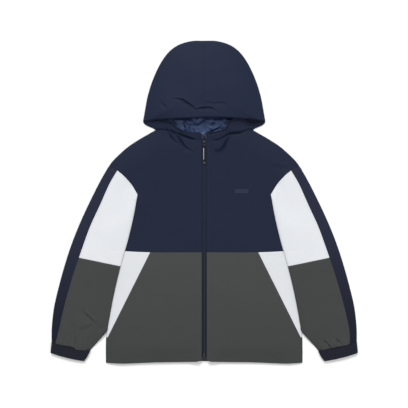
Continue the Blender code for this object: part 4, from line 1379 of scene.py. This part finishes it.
def zip_coil():
    """The closed chain: two rows of coil loops that mesh, over a stitched core."""
    bm = bmesh.new()
    count = int((CHAIN_TOP - CHAIN_END) / TOOTH_PITCH)
    for row in (-1, 1):
        for k in range(count):
            y = CHAIN_END + 0.8 + TOOTH_PITCH * (k + (0.5 if row > 0 else 0.0))
            if y > CHAIN_TOP - 0.6:
                continue
            rings = []
            for x, z in TOOTH:
                ring = [(row * -x, y + dy, TAPE_FACE - 0.05 + z + dz) for dy, dz in TOOTH_WIRE]
                rings.append(ring_of(bm, ring))
            loft(bm, rings)
    bar(bm, 1.1, (CHAIN_END, CHAIN_TOP), (TAPE_FACE - 1.1, TAPE_FACE - 0.2), 0.2, 1)
    dress(finish_mesh("zip_chain_coil", bm, 35), "coil", "zip_chain")


def zip_box():
    """The box at the zip's foot, with the small rib on its face."""
    bm = bmesh.new()
    bar(bm, 3.5, BOX_Y, (TAPE_FACE - 1.7, TAPE_FACE + 0.75), 0.7)
    bar(bm, 1.0, BOX_RIB_Y, (TAPE_FACE + 0.5, TAPE_FACE + 1.0), 0.22)
    dress(finish_mesh("zip_box_cast", bm), "gunmetal", "zip_box")


def slider_plates(bm):
    """The slider's upper and lower plates, wide at the middle, with their edges broken."""
    low, high = SLIDER_Y
    middle, half = (low + high) / 2, (high - low) / 2
    outline = [
        (2.6, low), (3.9, low + 1.2), (4.2, low + 6), (4.2, high - 5), (3.5, high - 1.2), (2.4, high),
        (1.0, high),
    ]
    outline = outline + [(-x, y) for x, y in reversed(outline)]
    for z0, z1 in ((PLATE_Z, PLATE_Z + 1.2), (TAPE_FACE - 2.7, TAPE_FACE - 1.5)):
        rings = []
        for z, shrink in ((z0, 0.3), (z0 + 0.25, 0.0), (z1 - 0.3, 0.0), (z1, 0.45)):
            ring = [(x - math.copysign(shrink, x), y + (middle - y) * shrink / half, z) for x, y in outline]
            rings.append(ring_of(bm, ring))
        loft(bm, rings)


def slider_bridge(bm):
    """The bow over the upper plate that the pull's pin goes through."""
    low, high = SLIDER_Y
    bow = [
        (low + 0.9, 0.0), (low + 0.8, 2.0), (low + 1.4, 3.1), (low + 3.0, 3.55), (low + 8, 3.5),
        (high - 5, 3.2), (high - 3.4, 2.2), (high - 3.2, 0.0),
    ]
    line = smooth(bow, 6)
    rings = []
    for k, (y, z) in enumerate(line):
        ty, tz = line[min(k + 1, len(line) - 1)] - line[max(k - 1, 0)]
        scale = math.hypot(ty, tz)
        ny, nz = -tz / scale, ty / scale
        rings.append(ring_of(bm, [(x, y + ny * out, PLATE_Z + 0.9 + z + nz * out) for x, out in BRIDGE_WIRE]))
    loft(bm, rings)


def zip_slider():
    """The slider: plates, the post between them, the bridge, and a small black block on it that stands in for
    the shaded gap under the pull: painted shadow.
    """
    low, high = SLIDER_Y
    bm = bmesh.new()
    slider_plates(bm)
    bar(bm, 1.2, (low + 6, high - 0.6), (TAPE_FACE - 1.7, PLATE_Z + 0.3), 0.2)
    slider_bridge(bm)
    dress(finish_mesh("zip_slider_cast", bm), "gunmetal", "zip_slider")
    # painted shadow: a black block where the gap between the pull and the bridge lies in shade
    bm = bmesh.new()
    bar(bm, 1.35, GAP_SHADOW_Y, (PLATE_Z + 0.8, PLATE_Z + 5.15), 0.3)
    bar(bm, 2.6, GAP_SHADOW_Y, (PLATE_Z + 0.8, PLATE_Z + 1.4), 0.2)
    dress(finish_mesh("zip_slider_gap_shadow", bm), "gap_shadow_black")


def zip_pull():
    """The tab with its arms and pin, the silver stripe on it, and the grip at its end."""
    bm = bmesh.new()
    for x in (-ARM_X - ARM, ARM_X):
        start, end = (x, TAB_Y[1] - 0.8, PIN_Z - PIN), (x + ARM, PIN_Y + PIN, PIN_Z + PIN)
        rounded_box(bm, start, end, 0.3)
    bar(bm, ARM_X + 0.5, (PIN_Y - PIN, PIN_Y + PIN), (PIN_Z - PIN, PIN_Z + PIN), 0.35)
    bar(bm, 2.9, TAB_Y, (PULL_Z + 0.1, PULL_Z + 1.6), 0.6)
    bar(bm, 1.7, NECK_TAB_Y, (PULL_Z + 0.1, PULL_Z + 0.9), 0.3)
    dress(finish_mesh("zip_pull_tab", bm), "dark_steel", "zip_pull", body="zip_pull")
    bm = bmesh.new()
    start, end = (STRIPE_X[0], STRIPE_Y[0], PULL_Z + 1.0), (STRIPE_X[1], STRIPE_Y[1], PULL_Z + 1.85)
    rounded_box(bm, start, end, 0.3)
    dress(finish_mesh("zip_pull_stripe", bm), "silver", body="zip_pull")
    bm = bmesh.new()
    bar(bm, 4.5, GRIP_Y, (PULL_Z - 0.15, PULL_Z + 2.2), 1.0)
    dress(finish_mesh("zip_pull_grip", bm), "steel", body="zip_pull")


# ---------------------------------------------------------------- chest bar

BAR_X = (92, 132)
BAR_Y = (38, 26)
FILM = 0.2
FILM_TOP = 0.22         # over the cloth, so that the film's underside is just clear of it
BAR_GRID = (40, 12)     # columns and rows of points


def chest_bar():
    """A plain tonal bar where a chest mark would be."""
    x, y = np.meshgrid(np.linspace(*BAR_X, BAR_GRID[0]), np.linspace(*BAR_Y, BAR_GRID[1]))

    def face(x, y):
        return front_face(x, y) + FILM_TOP

    dress(wall_mesh("chest_bar", [np.dstack([x, y])], face, FILM), "film")


# ---------------------------------------------------------------- studio

SPAN = 1.224            # metres across the picture at the garment
LENS = 100.0
SENSOR = 36.0
CENTRE = (-0.0006, -0.0066)
GARMENT_Z = 0.008       # the picture's scale holds at this height
FLOOR_Z = -0.0006       # under the garment, clear of it
SKY = 0.66
LAMPS = [
    ("top_window", (-0.15, 1.0, 0.95), 24, 1.85),
    ("side_bounce", (0.8, -0.3, 1.0), 60, 0.35),
]


def paper_floor():
    bpy.ops.mesh.primitive_plane_add(size=6, location=(0, 0, FLOOR_Z))
    floor = bpy.context.object
    floor.name = "floor"
    floor.data.materials.append(paper_look())


def white_sky():
    world = bpy.data.worlds.new("studio")
    world.use_nodes = True
    sky = world.node_tree.nodes["Background"].inputs
    sky["Color"].default_value = (1, 1, 1, 1)
    sky["Strength"].default_value = SKY
    bpy.context.scene.world = world


def lamps():
    for name, towards, spread, strength in LAMPS:
        light = bpy.data.lights.new(name, "SUN")
        light.energy, light.angle = strength, math.radians(spread)
        add(name, light).rotation_euler = Vector(towards).to_track_quat("Z", "Y").to_euler()


def camera_above():
    """The camera straight above the laid-out garment."""
    lens = bpy.data.cameras.new("camera")
    lens.lens, lens.sensor_width, lens.clip_end = LENS, SENSOR, 20
    eye = add("camera", lens)
    eye.location = (*CENTRE, GARMENT_Z + SPAN * LENS / SENSOR)
    scene = bpy.context.scene
    scene.camera = eye
    scene.view_settings.view_transform = "Standard"
    scene.view_settings.look = "None"


# ---------------------------------------------------------------- all of it

paper_floor()
white_sky()
lamps()
camera_above()
back_panels()
for way in (-1, 1):
    front_upper(way)
    front_lower(way)
    front_triangle(way)
    sleeve_panels(way)
    sleeve_under(way)
    hood(way)
    collar(way)
    cuff(way)
    stitching(way)
hood_lining()
zip_tapes()
zip_coil()
zip_box()
zip_slider()
zip_pull()
chest_bar()
